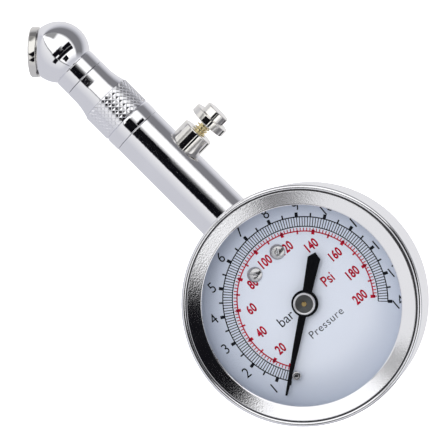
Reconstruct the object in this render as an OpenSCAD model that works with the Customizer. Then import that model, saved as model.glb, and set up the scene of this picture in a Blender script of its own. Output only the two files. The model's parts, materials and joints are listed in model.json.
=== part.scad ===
// Hand-held tyre pressure gauge with a straight stem, a bleed valve and a swivelling ball chuck.
// Millimetres. The origin is at the centre of the case's back, on the dial's axis.
// +Z looks out of the dial, +Y runs along the stem to the chuck, +X is the bleed valve's side.

/* [Case] */
// Outside diameter of the case
case_d = 60; // [58:0.5:76]
// Wall of the case
case_wall = 1; // [0.8:0.1:1.6]
// Thickness of the case's back
back_t = 1.2; // [1:0.1:2]
// Radius of the rounded edge round the back
back_fillet = 3.5; // [1:0.1:5]
// Height of the barrel, from the back to the shoulder under the bezel
barrel_h = 18.6; // [18:0.1:24]
// How far the bezel's seat is stepped in from the barrel
seat_step = 1.5; // [1.2:0.1:2]
// Height of the bezel's seat
seat_h = 1.7; // [1:0.1:3]

/* [Window] */
// Diameter of the window inside the bezel
window_d = 51; // [48:0.5:53]
// Thickness of the lens
lens_t = 1.8; // [1:0.1:3]
// Thickness of the gasket under the lens
gasket_t = 0.6; // [0.4:0.1:1]
// Thickness of the bezel's lip at the window
lip_t = 1.3; // [0.8:0.1:2]
// Rise of the bezel's face from the window to its rim
face_rise = 0.45; // [0.2:0.05:0.7]
// Radius of the rolled bead round the bezel's rim
bead_r = 0.7; // [0.4:0.1:1]

/* [Dial] */
// Thickness of the dial plate
dial_t = 0.6; // [0.4:0.1:1]
// Diameter of the dial plate
dial_d = 53.6; // [50:0.1:53.8]
// Hole in the dial for the pointer's arbor
dial_hole_d = 4.4; // [3:0.1:6]
// Head diameter of the dial's screws
dial_screw_d = 4; // [2:0.1:4.2]
// Spacing of the dial's screws
dial_screw_gap = 8.2; // [6:0.1:9]
// Diameter of the pointer's stop pin
stop_pin_d = 2.3; // [1:0.1:2.5]
// Distance of the stop pin from the centre
stop_pin_r = 18.5; // [15:0.1:21]

/* [Pointer] */
// Length of the needle, from the centre to its tip
needle_len = 23.7; // [18:0.1:24]
// Length of the counterweight tail
tail_len = 13; // [8:0.1:16]
// Angle of the resting needle, anticlockwise from +Y
needle_rest = 122.8; // [110:0.1:130]
// Diameter of the pointer's round boss
boss_d = 6.9; // [5:0.1:9]
// Diameter of the hub cap
hub_d = 5.6; // [4:0.1:6]

/* [Movement] */
// Gear module
gear_module = 0.3; // [0.28:0.01:0.32]
// Teeth on the pinion
pinion_teeth = 10; // [10:1:12]
// Teeth on the whole wheel that the sector is part of
sector_teeth = 80; // [78:1:84]
// Direction from the pinion to the sector's pivot
sector_dir = 215.34; // [205:0.1:225]
// Length of the sector's tail, from its pivot to the link's pin
tail_arm = 4; // [3.5:0.1:5]
// Angle of the sector's tail at rest
tail_dir = 163.7; // [155:0.1:175]
// Length of the link between the sector's tail and the pressure tube
link_len = 5.2; // [4.8:0.1:6]
// Direction of the link, from the sector's tail to the pressure tube
link_dir = 98.4; // [90:0.1:105]
// Diameter of the sector's arbor
sector_arbor_d = 1.6; // [1.2:0.1:2]
// Diameter of the pinion's arbor
pinion_arbor_d = 1.2; // [1:0.1:1.4]
// Thickness of the movement's two plates
plate_t = 1; // [0.6:0.1:1.2]
// Gap between the movement's two plates
plate_gap = 4; // [4:0.1:5]

/* [Pressure tube] */
// Gap from the case's wall to the middle of the pressure tube
tube_inset = 8.5; // [8:0.1:10]
// Thickness of the flattened tube
tube_w = 2; // [1.6:0.1:2.4]
// Height of the flattened tube
tube_h = 7; // [5:0.1:8]
// Wall of the tube
tube_wall = 0.35; // [0.2:0.05:0.5]
// How far the tube goes into its socket in the block
tube_seat = 1.04; // [0.6:0.02:1.4]
// Angle where the tube ends in its tip
tube_end = -165; // [-172:1:-160]

/* [Stem] */
// Outside diameter of the stem
stem_d = 13.7; // [12:0.1:15]
// Length of the stem, from the case's wall to the collar
stem_len = 31.5; // [26:0.5:60]
// Bore of the stem
stem_bore_d = 4; // [3:0.1:5]
// Height of the stem's axis over the case's back
stem_z = 10; // [9.6:0.1:10.2]
// Diameter of the spigots at the stem's two ends
spigot_d = 10; // [8.5:0.1:10.2]

/* [Bleed valve] */
// Distance of the bleed valve from the stem's case end
bleed_at = 20.2; // [12:0.1:24]
// Diameter of the valve's body
bleed_body_d = 8.7; // [7.6:0.1:9.4]
// How far the body stands out from the stem's axis
bleed_body_out = 10.95; // [10:0.05:14]
// Length of open pin between the body and the button
bleed_gap = 2.45; // [2.1:0.05:4]
// Diameter of the button's flange
button_d = 10; // [8:0.1:11]
// Thickness of the button's flange
button_t = 2.1; // [1.5:0.1:3]
// Diameter of the button's top
button_top_d = 6.6; // [5:0.1:8]
// Height of the button's top over its flange
button_top_h = 2.25; // [1:0.05:3]
// Diameter of the valve's pin
bleed_pin_d = 2.2; // [1.8:0.1:2.4]

/* [Collar] */
// Diameter of the knurled collar
collar_d = 14; // [13:0.1:16]
// Length of the collar up to its cone
collar_body_len = 11.5; // [10:0.1:16]
// Length of the cone
collar_cone_len = 3; // [2:0.1:5]
// Length of the collar's nose
collar_nose_len = 4.4; // [4:0.1:8]
// Diameter of the collar's nose
collar_nose_d = 11.9; // [11:0.1:12.6]
// Diameter of the swivel's shank
swivel_d = 7.9; // [7:0.1:8.3]

/* [Chuck] */
// Diameter of the ball
ball_d = 15.7; // [14:0.1:19]
// Diameter of the neck between the collar and the ball
neck_d = 11.8; // [11:0.1:12.5]
// Distance from the collar's nose to the ball's centre
ball_reach = 9.5; // [8.5:0.1:14]
// Angle between the chuck's mouth and the stem
mouth_tilt = 45; // [40:1:60]
// Distance from the ball's centre to the flat that carries the mouth ring
mouth_flat = 5; // [4.6:0.1:5.4]
// Outside diameter of the mouth ring
mouth_ring_d = 12.94; // [12.5:0.02:14]
// Height of the mouth ring over its flat
mouth_ring_h = 2.1; // [1.9:0.1:4]
// Bore that goes over a tyre's valve stem
mouth_d = 8.5; // [8:0.1:9]
// Thickness of the chuck's seal
seal_t = 2.1; // [1.5:0.1:2.4]
// Travel of the pin that opens the tyre's valve
depressor_travel = 1.2; // [0.8:0.1:1.3]

/* [Fits] */
// Radial clearance of a shaft that turns or slides
running_gap = 0.05; // [0.02:0.01:0.1]
// Radial clearance of a piece that is screwed or pressed in
seated_gap = 0.05; // [0.02:0.01:0.1]
// Clearance round the link's pin, which lets the opened linkage follow the tube
link_gap = 0.25; // [0.2:0.01:0.3]

/* [Hidden] */
$fn = 96;
small = 40;

// Case
case_r = case_d / 2;
case_ri = case_r - case_wall;
seat_r = case_r - seat_step;
seat_ri = dial_d / 2 + 0.2;
ledge_t = 1;
seat_top = barrel_h + seat_h;
window_r = window_d / 2;
lens_z = seat_top + gasket_t;
lip_z = lens_z + lens_t;
front_z = lip_z + lip_t;
lens_r = seat_r - 0.3;
bezel_skirt_r = case_r - 0.1;
bezel_rim_r = case_r - 0.8;
bezel_bead_z = front_z - 0.3 - bead_r;

// Dial, its screws and the pointer over it
block_top = 14.4;
dial_z = block_top;
dial_top = dial_z + dial_t;
needle_z = dial_top + 1.6;
needle_t = 0.45;
boss_t = 0.55;
hub_t = 1.25;
stop_pin_dir = 90 + needle_rest + asin((stop_pin_d / 2 + 0.48) / stop_pin_r) + 0.2;

// Socket block that carries the movement, the tube and the stem
flange_r = 6.2;
flange_end = sqrt(case_ri * case_ri - flange_r * flange_r) - 0.1;
block_end = flange_end - 4.1;
block_start = block_end - 14.5;
block_w = 12;
block_bottom = 5.4;
foot_start = block_end - 8;
spigot_r = spigot_d / 2;
socket_spigot_end = case_r + 8;
case_screw_y = block_end - 5;
case_screw_x = 3.5;
dial_screw_y = block_start + 4.6;
movement_screw_y = block_start + 3;
movement_screw_x = 3;
passage_d = 3;

// Pressure tube
tube_r = case_ri - tube_inset;
tube_start = acos((block_w / 2 - tube_seat) / tube_r);
tube_port_y = tube_r * sin(tube_start);
tip_sweep = 7;

// Movement
plate_z = block_bottom - plate_t;
upper_plate_z = block_bottom + plate_gap;
gear_z = plate_z + 2.6;
gear_t = 1;
centre_dist = gear_module * (pinion_teeth + sector_teeth) / 2;
sector_pos = centre_dist * [cos(sector_dir), sin(sector_dir)];
tail_pos = sector_pos + tail_arm * [cos(tail_dir), sin(tail_dir)];
lug_pos = tail_pos + link_len * [cos(link_dir), sin(link_dir)];
link_z = gear_z + gear_t + 0.2;
link_t = 0.6;
link_pin_r = 0.5;
spring_z = plate_z + plate_t + 0.4;
spring_t = 0.6;
collet_r = 1.1;
stud_r = 0.5;
hairspring_r = 4.4;
hairspring_turns = 4;
hairspring_w = 0.14;
pillar_r = 1.3;
pillar_reach = tube_r - tube_w / 2 - 2.4;
pillars = [[7.5, -4], [-8, 6], pillar_reach * [cos(232), sin(232)]];

// Stem
stem_r = stem_d / 2;
stem_start = case_r;
stem_end = case_r + stem_len;
stem_spigot_len = 5.5;
stem_counterbore_end = socket_spigot_end + 1;
washer_gap = 0.1;

// Bleed valve
bleed_y = stem_start + bleed_at;
bleed_seat = 4.6;
bleed_shank_r = 3;
bleed_shank_in = 2.2;
bleed_body_r = bleed_body_d / 2;
bleed_pin_r = bleed_pin_d / 2;
bleed_flow_r = bleed_pin_r + 0.2;
bleed_pocket_r = bleed_pin_r + 1;
bleed_pocket_depth = 3.45;
bleed_pocket_x = bleed_body_out - bleed_pocket_depth;
button_collar_r = bleed_pin_r + 0.95;
button_collar_h = 0.55;
button_x = bleed_body_out + bleed_gap + button_collar_h;
bleed_seal_r = 1.7;
bleed_seal_t = 0.8;
bleed_wire = 0.4;

// Collar
collar_start = stem_end;
collar_r = collar_d / 2;
cone_start = collar_start + collar_body_len;
nose_start = cone_start + collar_cone_len;
collar_end = nose_start + collar_nose_len;
collar_spigot_end = collar_start + stem_spigot_len + 1;
swivel_r = swivel_d / 2;
swivel_bore_start = collar_start + 10.5;
swivel_start = swivel_bore_start + 0.3;
oring_y = swivel_bore_start + 2.25;
oring_w = 1.5;
oring_depth = 0.9;
clip_y = swivel_bore_start + 5;
clip_t = 0.8;
clip_depth = 0.7;
clip_out = 0.4;

// Chuck, measured along the mouth's axis from the ball's centre
ball_r = ball_d / 2;
neck_r = neck_d / 2;
neck_start = collar_end + 0.1;
ball_y = collar_end + ball_reach;
neck_groove_y = neck_start + 4;
cap_r = mouth_ring_d / 2;
cap_start = mouth_flat + 0.05;
cap_end = mouth_flat + mouth_ring_h;
mouth_r = mouth_d / 2;
mouth_depth = 3.7;
cap_spigot_r = mouth_r + 0.9;
cap_foot = cap_end - mouth_depth;
chuck_seal_top = cap_foot - 0.05;
chuck_seal_z = chuck_seal_top - seal_t;
seal_hole_r = 2.4;
chamber_r = 2.6;
chamber_foot = -2.6;
depressor_r = 1.5;
poppet_r = 2.3;
poppet_t = 0.9;
poppet_z = chuck_seal_z - 0.1 - poppet_t;
depressor_wire = 0.35;

function arc(cx, cy, r, from, to, steps) =
    [for (i = [0:steps]) let (a = from + (to - from) * i / steps) [cx + r * cos(a), cy + r * sin(a)]];

// A turned piece: points are [radius, height].
module turned(points) {
    rotate_extrude() polygon(points);
}

// A plain ring or tube standing on z.
module ring(inner, outer, z, h) {
    translate([0, 0, z]) difference() {
        cylinder(r = outer, h = h);
        translate([0, 0, -1]) cylinder(r = inner, h = h + 2);
    }
}

// Children drawn along +Z are laid along the stem, from its axis.
module on_stem() {
    translate([0, 0, stem_z]) rotate([-90, 0, 0]) children();
}

// Children drawn along +Z point out of the bleed valve.
module on_bleed() {
    translate([0, bleed_y, stem_z]) rotate([0, 90, 0]) children();
}

// Children drawn along +Z point out of the chuck's mouth, from the ball's centre.
module on_mouth() {
    translate([0, ball_y, stem_z]) rotate([0, 0, mouth_tilt]) rotate([-90, 0, 0]) children();
}

// A flat bar between two places, a little narrower than its round ends.
module bar(a, b, r, z, h) {
    d = b - a;
    waist = 0.94 * r;
    translate([a[0], a[1], z]) cylinder(r = r, h = h, $fn = small);
    translate([b[0], b[1], z]) cylinder(r = r, h = h, $fn = small);
    translate([a[0], a[1], z]) rotate([0, 0, atan2(d[1], d[0])])
        translate([0, -waist, 0]) cube([norm(d), 2 * waist, h]);
}

// A round wire coiled along +Z from z to z + h.
module coil(mean_r, wire_d, z, h, turns) {
    steps = 18;
    sides = 6;
    count = turns * steps;
    rise = h - wire_d;
    rings = [for (i = [0:count], k = [0:sides - 1])
        let (a = 360 * i / steps, b = 360 * k / sides, r = mean_r + wire_d / 2 * cos(b))
        [r * cos(a), r * sin(a), z + wire_d / 2 + rise * i / count + wire_d / 2 * sin(b)]];
    walls = [for (i = [0:count - 1], k = [0:sides - 1], half = [0, 1])
        let (p = i * sides + k, q = i * sides + (k + 1) % sides)
        half == 0 ? [p, p + sides, q] : [q, p + sides, q + sides]];
    first = [[for (k = [0:sides - 1]) k]];
    last = [[for (k = [0:sides - 1]) count * sides + sides - 1 - k]];
    polyhedron(points = rings, faces = concat(walls, first, last), convexity = 10);
}

// Half the angle that an involute tooth covers at a radius.
pressure_angle = 20;
backlash = 0.12;
function roll(a) = tan(a) * 180 / PI - a;
function tooth_half(teeth, r) =
    let (pitch_r = gear_module * teeth / 2, base_r = pitch_r * cos(pressure_angle))
    90 / teeth - backlash / 2 / pitch_r * 180 / PI + roll(pressure_angle)
    - roll(acos(base_r / max(r, base_r)));

// One gear tooth, from inside its root to its tip, pointing along an angle.
module tooth(teeth, root_r, tip_r, angle, h) {
    radii = [for (i = [0:4]) root_r + (tip_r - root_r) * i / 4];
    up = [for (r = radii) let (a = angle + tooth_half(teeth, r)) r * [cos(a), sin(a)]];
    down = [for (i = [4:-1:0]) let (a = angle - tooth_half(teeth, radii[i])) radii[i] * [cos(a), sin(a)]];
    inside = (root_r - 0.2) * [cos(angle), sin(angle)];
    linear_extrude(h) polygon(concat(up, down, [inside]));
}

module case() {
    color("silver") difference() {
        turned(concat(
            [[0, 0]],
            arc(case_r - back_fillet, back_fillet, back_fillet, -90, 0, 8),
            [[case_r, barrel_h], [seat_r, barrel_h], [seat_r, seat_top], [seat_ri, seat_top],
             [seat_ri, barrel_h - ledge_t], [case_ri, barrel_h - ledge_t]],
            arc(case_ri - back_fillet + back_t, back_fillet, back_fillet - back_t, 0, -90, 8),
            [[0, back_t]]
        ));
        on_stem() translate([0, 0, case_ri - 3]) cylinder(r = spigot_r + seated_gap, h = 6);
        for (x = [-case_screw_x, case_screw_x]) translate([x, case_screw_y, 0]) {
            translate([0, 0, -0.01]) cylinder(r1 = 2.41, r2 = 1.3, h = 1.11, $fn = small);
            cylinder(r = 1.3, h = back_t + 1, $fn = small);
        }
    }
}

module case_screws() {
    color("silver") for (x = [-case_screw_x, case_screw_x]) translate([x, case_screw_y, 0]) difference() {
        union() {
            cylinder(r1 = 2.3, r2 = 1.2, h = 1.1, $fn = small);
            cylinder(r = 1.2, h = 4.6, $fn = small);
        }
        for (turn = [0, 90]) rotate([0, 0, turn]) translate([-1.2, -0.25, -0.1]) cube([2.4, 0.5, 0.8]);
    }
}

module bezel() {
    color("silver") turned(concat(
        [[window_r, lip_z], [window_r, front_z - face_rise - 0.15], [window_r + 0.2, front_z - face_rise],
         [bezel_rim_r, front_z], [bezel_rim_r + 0.12, front_z - 0.5]],
        arc(case_r, bezel_bead_z, bead_r, 130, -70, 10),
        [[bezel_skirt_r, bezel_bead_z - bead_r - 0.4], [bezel_skirt_r, barrel_h + 0.1],
         [seat_r + seated_gap, barrel_h + 0.1], [seat_r + seated_gap, lip_z]]
    ));
}

module lens() {
    color("lightblue", 0.3) translate([0, 0, lens_z]) cylinder(r = lens_r, h = lens_t);
}

module lens_gasket() {
    color("dimgray") ring(seat_ri + 0.1, seat_r - 0.1, seat_top, gasket_t);
}

module dial() {
    color("lavender") difference() {
        translate([0, 0, dial_z]) cylinder(r = dial_d / 2, h = dial_t);
        translate([0, 0, dial_z - 1]) cylinder(d = dial_hole_d, h = dial_t + 2);
        for (x = [-1, 1]) translate([x * dial_screw_gap / 2, dial_screw_y, dial_z - 1])
            cylinder(r = 0.95, h = dial_t + 2, $fn = small);
        rotate([0, 0, stop_pin_dir]) translate([stop_pin_r, 0, dial_z - 1])
            cylinder(r = 0.55, h = dial_t + 2, $fn = small);
    }
}

module dial_screws() {
    head_r = dial_screw_d / 2;
    dome_h = 0.72;
    dome_r = (head_r * head_r + dome_h * dome_h) / (2 * dome_h);
    color("silver") for (x = [-1, 1]) translate([x * dial_screw_gap / 2, dial_screw_y, dial_top]) difference() {
        union() {
            turned(concat([[0, 0], [head_r, 0]],
                arc(0, 0.3 + dome_h - dome_r, dome_r, atan2(dome_r - dome_h, head_r), 90, 6)));
            translate([0, 0, -4]) cylinder(r = 0.9, h = 4.1, $fn = small);
        }
        rotate([0, 0, 40 * x]) translate([-head_r - 1, -0.25, 0.45]) cube([2 * head_r + 2, 0.5, 2]);
    }
}

module stop_pin() {
    color("silver") rotate([0, 0, stop_pin_dir]) translate([stop_pin_r, 0, 0]) {
        translate([0, 0, dial_z - 0.4]) cylinder(r = 0.5, h = 1.2, $fn = small);
        translate([0, 0, dial_top]) cylinder(d = stop_pin_d, h = 2.4, $fn = small);
    }
}

module pointer() {
    tail_end = tail_len - 1.5;
    color("black") rotate([0, 0, needle_rest]) difference() {
        union() {
            translate([0, 0, needle_z]) linear_extrude(needle_t) polygon([
                [-0.28, needle_len], [0.28, needle_len], [1.1, 2], [1.2, -3], [1.6, -tail_end],
                [0, -tail_len], [-1.6, -tail_end], [-1.2, -3], [-1.1, 2]
            ]);
            translate([0, 0, needle_z]) cylinder(d = boss_d, h = boss_t);
        }
        translate([0, 0, needle_z - 1]) cylinder(d = pinion_arbor_d + 0.04, h = boss_t + 2, $fn = small);
    }
}

module pointer_hub() {
    hub_r = hub_d / 2;
    foot = needle_z + boss_t;
    bore_r = pinion_arbor_d / 2 + 0.02;
    color("dimgray") turned([
        [bore_r, foot], [hub_r, foot], [hub_r, foot + hub_t - 0.25], [hub_r - 0.25, foot + hub_t],
        [hub_r - 0.4, foot + hub_t], [hub_r - 0.55, foot + hub_t - 0.15], [bore_r, foot + hub_t - 0.15]
    ]);
}

module socket_block() {
    color("goldenrod") difference() {
        union() {
            translate([-block_w / 2, block_start, block_bottom])
                cube([block_w, block_end - block_start, block_top - block_bottom]);
            translate([-block_w / 2, foot_start, back_t])
                cube([block_w, block_end - foot_start, block_bottom - back_t]);
            on_stem() translate([0, 0, block_end - 0.5]) cylinder(r = flange_r, h = flange_end - block_end + 0.5);
            on_stem() translate([0, 0, flange_end]) cylinder(r = spigot_r, h = socket_spigot_end - flange_end);
        }
        translate([-flange_r, block_start - 1, block_top])
            cube([2 * flange_r, flange_end - block_start + 1, flange_r]);
        on_stem() translate([0, 0, tube_port_y]) cylinder(d = passage_d, h = socket_spigot_end - tube_port_y + 1);
        translate([0, tube_port_y, stem_z]) rotate([0, 90, 0]) cylinder(d = 2.4, h = block_w / 2 - 1.5);
        translate([0, 0, stem_z]) rotate([0, 0, tube_start - 12]) rotate_extrude(angle = 12)
            translate([tube_r - tube_w / 2 - seated_gap, -tube_h / 2 - seated_gap])
            square([tube_w + 2 * seated_gap, tube_h + 2 * seated_gap]);
        for (x = [-case_screw_x, case_screw_x]) translate([x, case_screw_y, back_t - 1])
            cylinder(r = 1.2 + seated_gap, h = 4.6, $fn = small);
        for (x = [-1, 1]) translate([x * dial_screw_gap / 2, dial_screw_y, block_top - 4])
            cylinder(r = 0.9 + seated_gap, h = 5, $fn = small);
        for (x = [-movement_screw_x, movement_screw_x]) translate([x, movement_screw_y, block_bottom - 1])
            cylinder(r = 0.8 + seated_gap, h = 4.2, $fn = small);
    }
}

// A stretch of the flattened tube's section, swept round the dial's axis.
module tube_sweep(from, to, w, h) {
    translate([0, 0, stem_z]) rotate([0, 0, from]) rotate_extrude(angle = to - from)
        translate([tube_r - w / 2, -h / 2]) square([w, h]);
}

module bourdon_tube() {
    bend = (tube_w - 2 * tube_wall);
    color("peru") difference() {
        tube_sweep(tube_end, tube_start, tube_w, tube_h);
        tube_sweep(tube_end - 1, tube_start + 1, bend, tube_h - 2 * tube_wall);
    }
}

module bourdon_tip() {
    lug_end = lug_pos;
    lug_root = (tube_r - 0.2) * [cos(tube_end - tip_sweep / 2), sin(tube_end - tip_sweep / 2)];
    color("goldenrod") {
        tube_sweep(tube_end - tip_sweep, tube_end - 0.1, tube_w + 0.4, tube_h + 0.4);
        bar(lug_root, lug_end, 0.95, gear_z - 0.6, link_z - gear_z + 0.5);
        translate([lug_end[0], lug_end[1], gear_z - 0.6])
            cylinder(r = link_pin_r, h = link_z - gear_z + 0.6 + link_t + 0.3, $fn = small);
    }
}

module link() {
    color("silver") difference() {
        bar(lug_pos, tail_pos, 1, link_z, link_t);
        translate([lug_pos[0], lug_pos[1], link_z - 1])
            cylinder(r = link_pin_r + running_gap, h = link_t + 2, $fn = small);
        translate([tail_pos[0], tail_pos[1], link_z - 1])
            cylinder(r = link_pin_r + link_gap, h = link_t + 2, $fn = small);
    }
}

module tail_pin() {
    color("silver") translate([tail_pos[0], tail_pos[1], gear_z - 0.3])
        cylinder(r = link_pin_r, h = link_z - gear_z + link_t + 0.6, $fn = small);
}

module sector_gear() {
    tooth_step = 360 / sector_teeth;
    mesh_dir = sector_dir - 180;
    root_r = gear_module * (sector_teeth / 2 - 1.25);
    tip_r = gear_module * (sector_teeth / 2 + 0.8);
    rim_r = root_r - 1.3;
    first = -9;
    last = 1;
    from = mesh_dir + (first - 0.5) * tooth_step;
    to = mesh_dir + (last + 0.5) * tooth_step;
    color("goldenrod") translate([sector_pos[0], sector_pos[1], gear_z]) difference() {
        union() {
            cylinder(r = 2.2, h = gear_t);
            linear_extrude(gear_t) polygon(concat(
                arc(0, 0, root_r, from, to, 12), arc(0, 0, rim_r, to, from, 12)));
            for (a = [from + 4, to - 4]) bar([0, 0], (rim_r + 0.4) * [cos(a), sin(a)], 0.7, 0, gear_t);
            for (i = [first:last]) tooth(sector_teeth, root_r - 0.05, tip_r, mesh_dir + i * tooth_step, gear_t);
            bar([0, 0], tail_pos - sector_pos, 1.1, 0, gear_t);
        }
        translate([0, 0, -1]) cylinder(d = sector_arbor_d + 2 * seated_gap, h = gear_t + 2, $fn = small);
        translate([tail_pos[0] - sector_pos[0], tail_pos[1] - sector_pos[1], -1])
            cylinder(r = link_pin_r + 0.02, h = gear_t + 2, $fn = small);
    }
}

module sector_arbor() {
    color("silver") translate([sector_pos[0], sector_pos[1], plate_z]) cylinder(
        d = sector_arbor_d, h = upper_plate_z + plate_t - plate_z, $fn = small);
}

module pinion() {
    root_r = gear_module * (pinion_teeth / 2 - 1.1);
    tip_r = gear_module * (pinion_teeth / 2 + 0.8);
    mesh_dir = sector_dir + 180 / pinion_teeth;
    hub_top = needle_z + boss_t + hub_t;
    color("goldenrod") {
        translate([0, 0, plate_z]) cylinder(d = pinion_arbor_d, h = hub_top - plate_z, $fn = small);
        translate([0, 0, gear_z - 0.1]) cylinder(r = root_r, h = gear_t + 0.2);
        for (i = [0:pinion_teeth - 1]) translate([0, 0, gear_z - 0.1])
            tooth(pinion_teeth, root_r - 0.05, tip_r, mesh_dir + i * 360 / pinion_teeth, gear_t + 0.2);
        translate([0, 0, spring_z]) cylinder(r = collet_r, h = spring_t, $fn = small);
    }
}

module hairspring() {
    steps = 24 * hairspring_turns;
    r0 = collet_r + hairspring_w / 2 + 0.02;
    r1 = hairspring_r - hairspring_w / 2 - stud_r - 0.02;
    function place(i, side) =
        let (a = 360 * i / 24, r = r0 + (r1 - r0) * i / steps + side * hairspring_w / 2)
        [r * cos(a), r * sin(a)];
    color("goldenrod") translate([0, 0, spring_z]) linear_extrude(spring_t) polygon(concat(
        [for (i = [0:steps]) place(i, 1)], [for (i = [steps:-1:0]) place(i, -1)]));
}

module plate_outline(z) {
    bar(sector_pos, [0, 0], 2.2, z, plate_t);
    bar(sector_pos, pillars[2], 2, z, plate_t);
    bar(sector_pos, pillars[1], 2, z, plate_t);
    bar([0, 0], pillars[0], 2.2, z, plate_t);
}

module movement_bottom_plate() {
    tab = block_start + 6;
    color("gold") difference() {
        union() {
            plate_outline(plate_z);
            bar([0, 0], [0, movement_screw_y], 2.4, plate_z, plate_t);
            bar(pillars[0], [movement_screw_x, movement_screw_y], 1.6, plate_z, plate_t);
            bar(pillars[1], [-movement_screw_x, movement_screw_y], 1.6, plate_z, plate_t);
            translate([-block_w / 2 + 0.8, block_start, plate_z])
                cube([block_w - 1.6, tab - block_start, plate_t]);
            translate([hairspring_r, 0, plate_z]) cylinder(r = stud_r, h = plate_t + 1.1, $fn = small);
        }
        translate([0, 0, plate_z - 1])
            cylinder(r = pinion_arbor_d / 2 + running_gap, h = plate_t + 2, $fn = small);
        translate([sector_pos[0], sector_pos[1], plate_z - 1])
            cylinder(r = sector_arbor_d / 2 + running_gap, h = plate_t + 2, $fn = small);
        for (x = [-movement_screw_x, movement_screw_x]) translate([x, movement_screw_y, plate_z - 1])
            cylinder(r = 0.8 + seated_gap, h = plate_t + 2, $fn = small);
    }
}

module movement_top_plate() {
    color("gold") difference() {
        union() {
            plate_outline(upper_plate_z);
            bar([0, 0], pillars[1], 2, upper_plate_z, plate_t);
        }
        translate([0, 0, upper_plate_z - 1])
            cylinder(r = pinion_arbor_d / 2 + running_gap, h = plate_t + 2, $fn = small);
        translate([sector_pos[0], sector_pos[1], upper_plate_z - 1])
            cylinder(r = sector_arbor_d / 2 + running_gap, h = plate_t + 2, $fn = small);
        for (p = pillars) translate([p[0], p[1], upper_plate_z - 1])
            cylinder(r = 0.6 + seated_gap, h = plate_t + 2, $fn = small);
    }
}

module movement_pillars() {
    color("goldenrod") for (p = pillars) translate([p[0], p[1], block_bottom]) difference() {
        cylinder(r = pillar_r, h = plate_gap, $fn = small);
        translate([0, 0, plate_gap - 2]) cylinder(r = 0.6 + seated_gap, h = 3, $fn = small);
    }
}

module pillar_screws() {
    top = upper_plate_z + plate_t;
    color("silver") for (p = pillars) translate([p[0], p[1], 0]) difference() {
        union() {
            translate([0, 0, top]) cylinder(r = 1.2, h = 0.8, $fn = small);
            translate([0, 0, top - plate_t - 1.8]) cylinder(r = 0.6, h = plate_t + 2, $fn = small);
        }
        translate([-2, -0.2, top + 0.4]) cube([4, 0.4, 1]);
    }
}

module movement_screws() {
    color("silver") for (x = [-movement_screw_x, movement_screw_x]) translate([x, movement_screw_y, 0]) difference() {
        union() {
            translate([0, 0, plate_z - 0.9]) cylinder(r = 1.5, h = 0.9, $fn = small);
            translate([0, 0, plate_z - 0.1]) cylinder(r = 0.8, h = 4, $fn = small);
        }
        translate([-2, -0.25, plate_z - 1.4]) cube([4, 0.5, 1]);
    }
}

module stem() {
    color("silver") difference() {
        union() {
            on_stem() translate([0, 0, stem_start - 3]) cylinder(r = stem_r, h = stem_end - stem_start + 3);
            on_stem() translate([0, 0, stem_end]) cylinder(r = spigot_r, h = stem_spigot_len);
        }
        cylinder(r = case_r + 0.05, h = 3 * stem_z);
        on_stem() cylinder(d = stem_bore_d, h = stem_end + stem_spigot_len + 1);
        on_stem() cylinder(r = spigot_r + seated_gap, h = stem_counterbore_end);
        on_bleed() cylinder(r = bleed_shank_r + seated_gap, h = stem_r + 1);
        on_bleed() translate([0, 0, bleed_seat]) cylinder(r = bleed_body_r + seated_gap, h = stem_r);
    }
}

module stem_seal() {
    color("dimgray") on_stem() ring(
        stem_bore_d / 2 + 0.5, spigot_r - 0.1, socket_spigot_end, stem_counterbore_end - socket_spigot_end);
}

module bleed_body() {
    color("silver") on_bleed() difference() {
        union() {
            translate([0, 0, bleed_seat + 0.3]) cylinder(r = bleed_body_r, h = bleed_body_out - bleed_seat - 0.3);
            translate([0, 0, bleed_shank_in]) cylinder(r = bleed_shank_r, h = bleed_seat - bleed_shank_in + 1);
        }
        cylinder(r = bleed_flow_r, h = bleed_body_out);
        translate([0, 0, bleed_pocket_x]) cylinder(r = bleed_pocket_r, h = bleed_pocket_depth + 1);
    }
}

module bleed_gasket() {
    color("dimgray") on_bleed() ring(bleed_shank_r + 0.1, bleed_body_r - 0.05, bleed_seat, 0.3);
}

module bleed_spring() {
    reach = button_x - button_collar_h - bleed_pocket_x;
    color("goldenrod") on_bleed() coil(
        bleed_pin_r + bleed_wire / 2 + 0.3, bleed_wire, bleed_pocket_x + 0.02, reach - 0.04, 6);
}

module bleed_pin() {
    color("goldenrod") on_bleed() translate([0, 0, bleed_shank_in - 0.4])
        cylinder(r = bleed_pin_r, h = button_x + button_t - bleed_shank_in - 0.6, $fn = small);
}

module bleed_seal() {
    color("dimgray") on_bleed() difference() {
        translate([0, 0, bleed_shank_in - bleed_seal_t]) cylinder(r = bleed_seal_r, h = bleed_seal_t - 0.02, $fn = small);
        translate([0, 0, bleed_shank_in - 0.4]) cylinder(r = bleed_pin_r, h = 1, $fn = small);
    }
}

module bleed_button() {
    button_r = button_d / 2;
    top_r = button_top_d / 2;
    top = button_x + button_t + button_top_h;
    bore_r = bleed_pin_r + 0.02;
    bore_top = button_x + button_t - 1;
    color("silver") on_bleed() turned([
        [bore_r, button_x - button_collar_h], [button_collar_r, button_x - button_collar_h],
        [button_collar_r, button_x], [button_r - 0.3, button_x], [button_r, button_x + 0.3],
        [button_r, button_x + button_t - 0.3], [button_r - 0.3, button_x + button_t],
        [top_r, button_x + button_t], [top_r, top - 0.35], [top_r - 0.35, top], [0, top],
        [0, bore_top], [bore_r, bore_top]
    ]);
}

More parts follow.
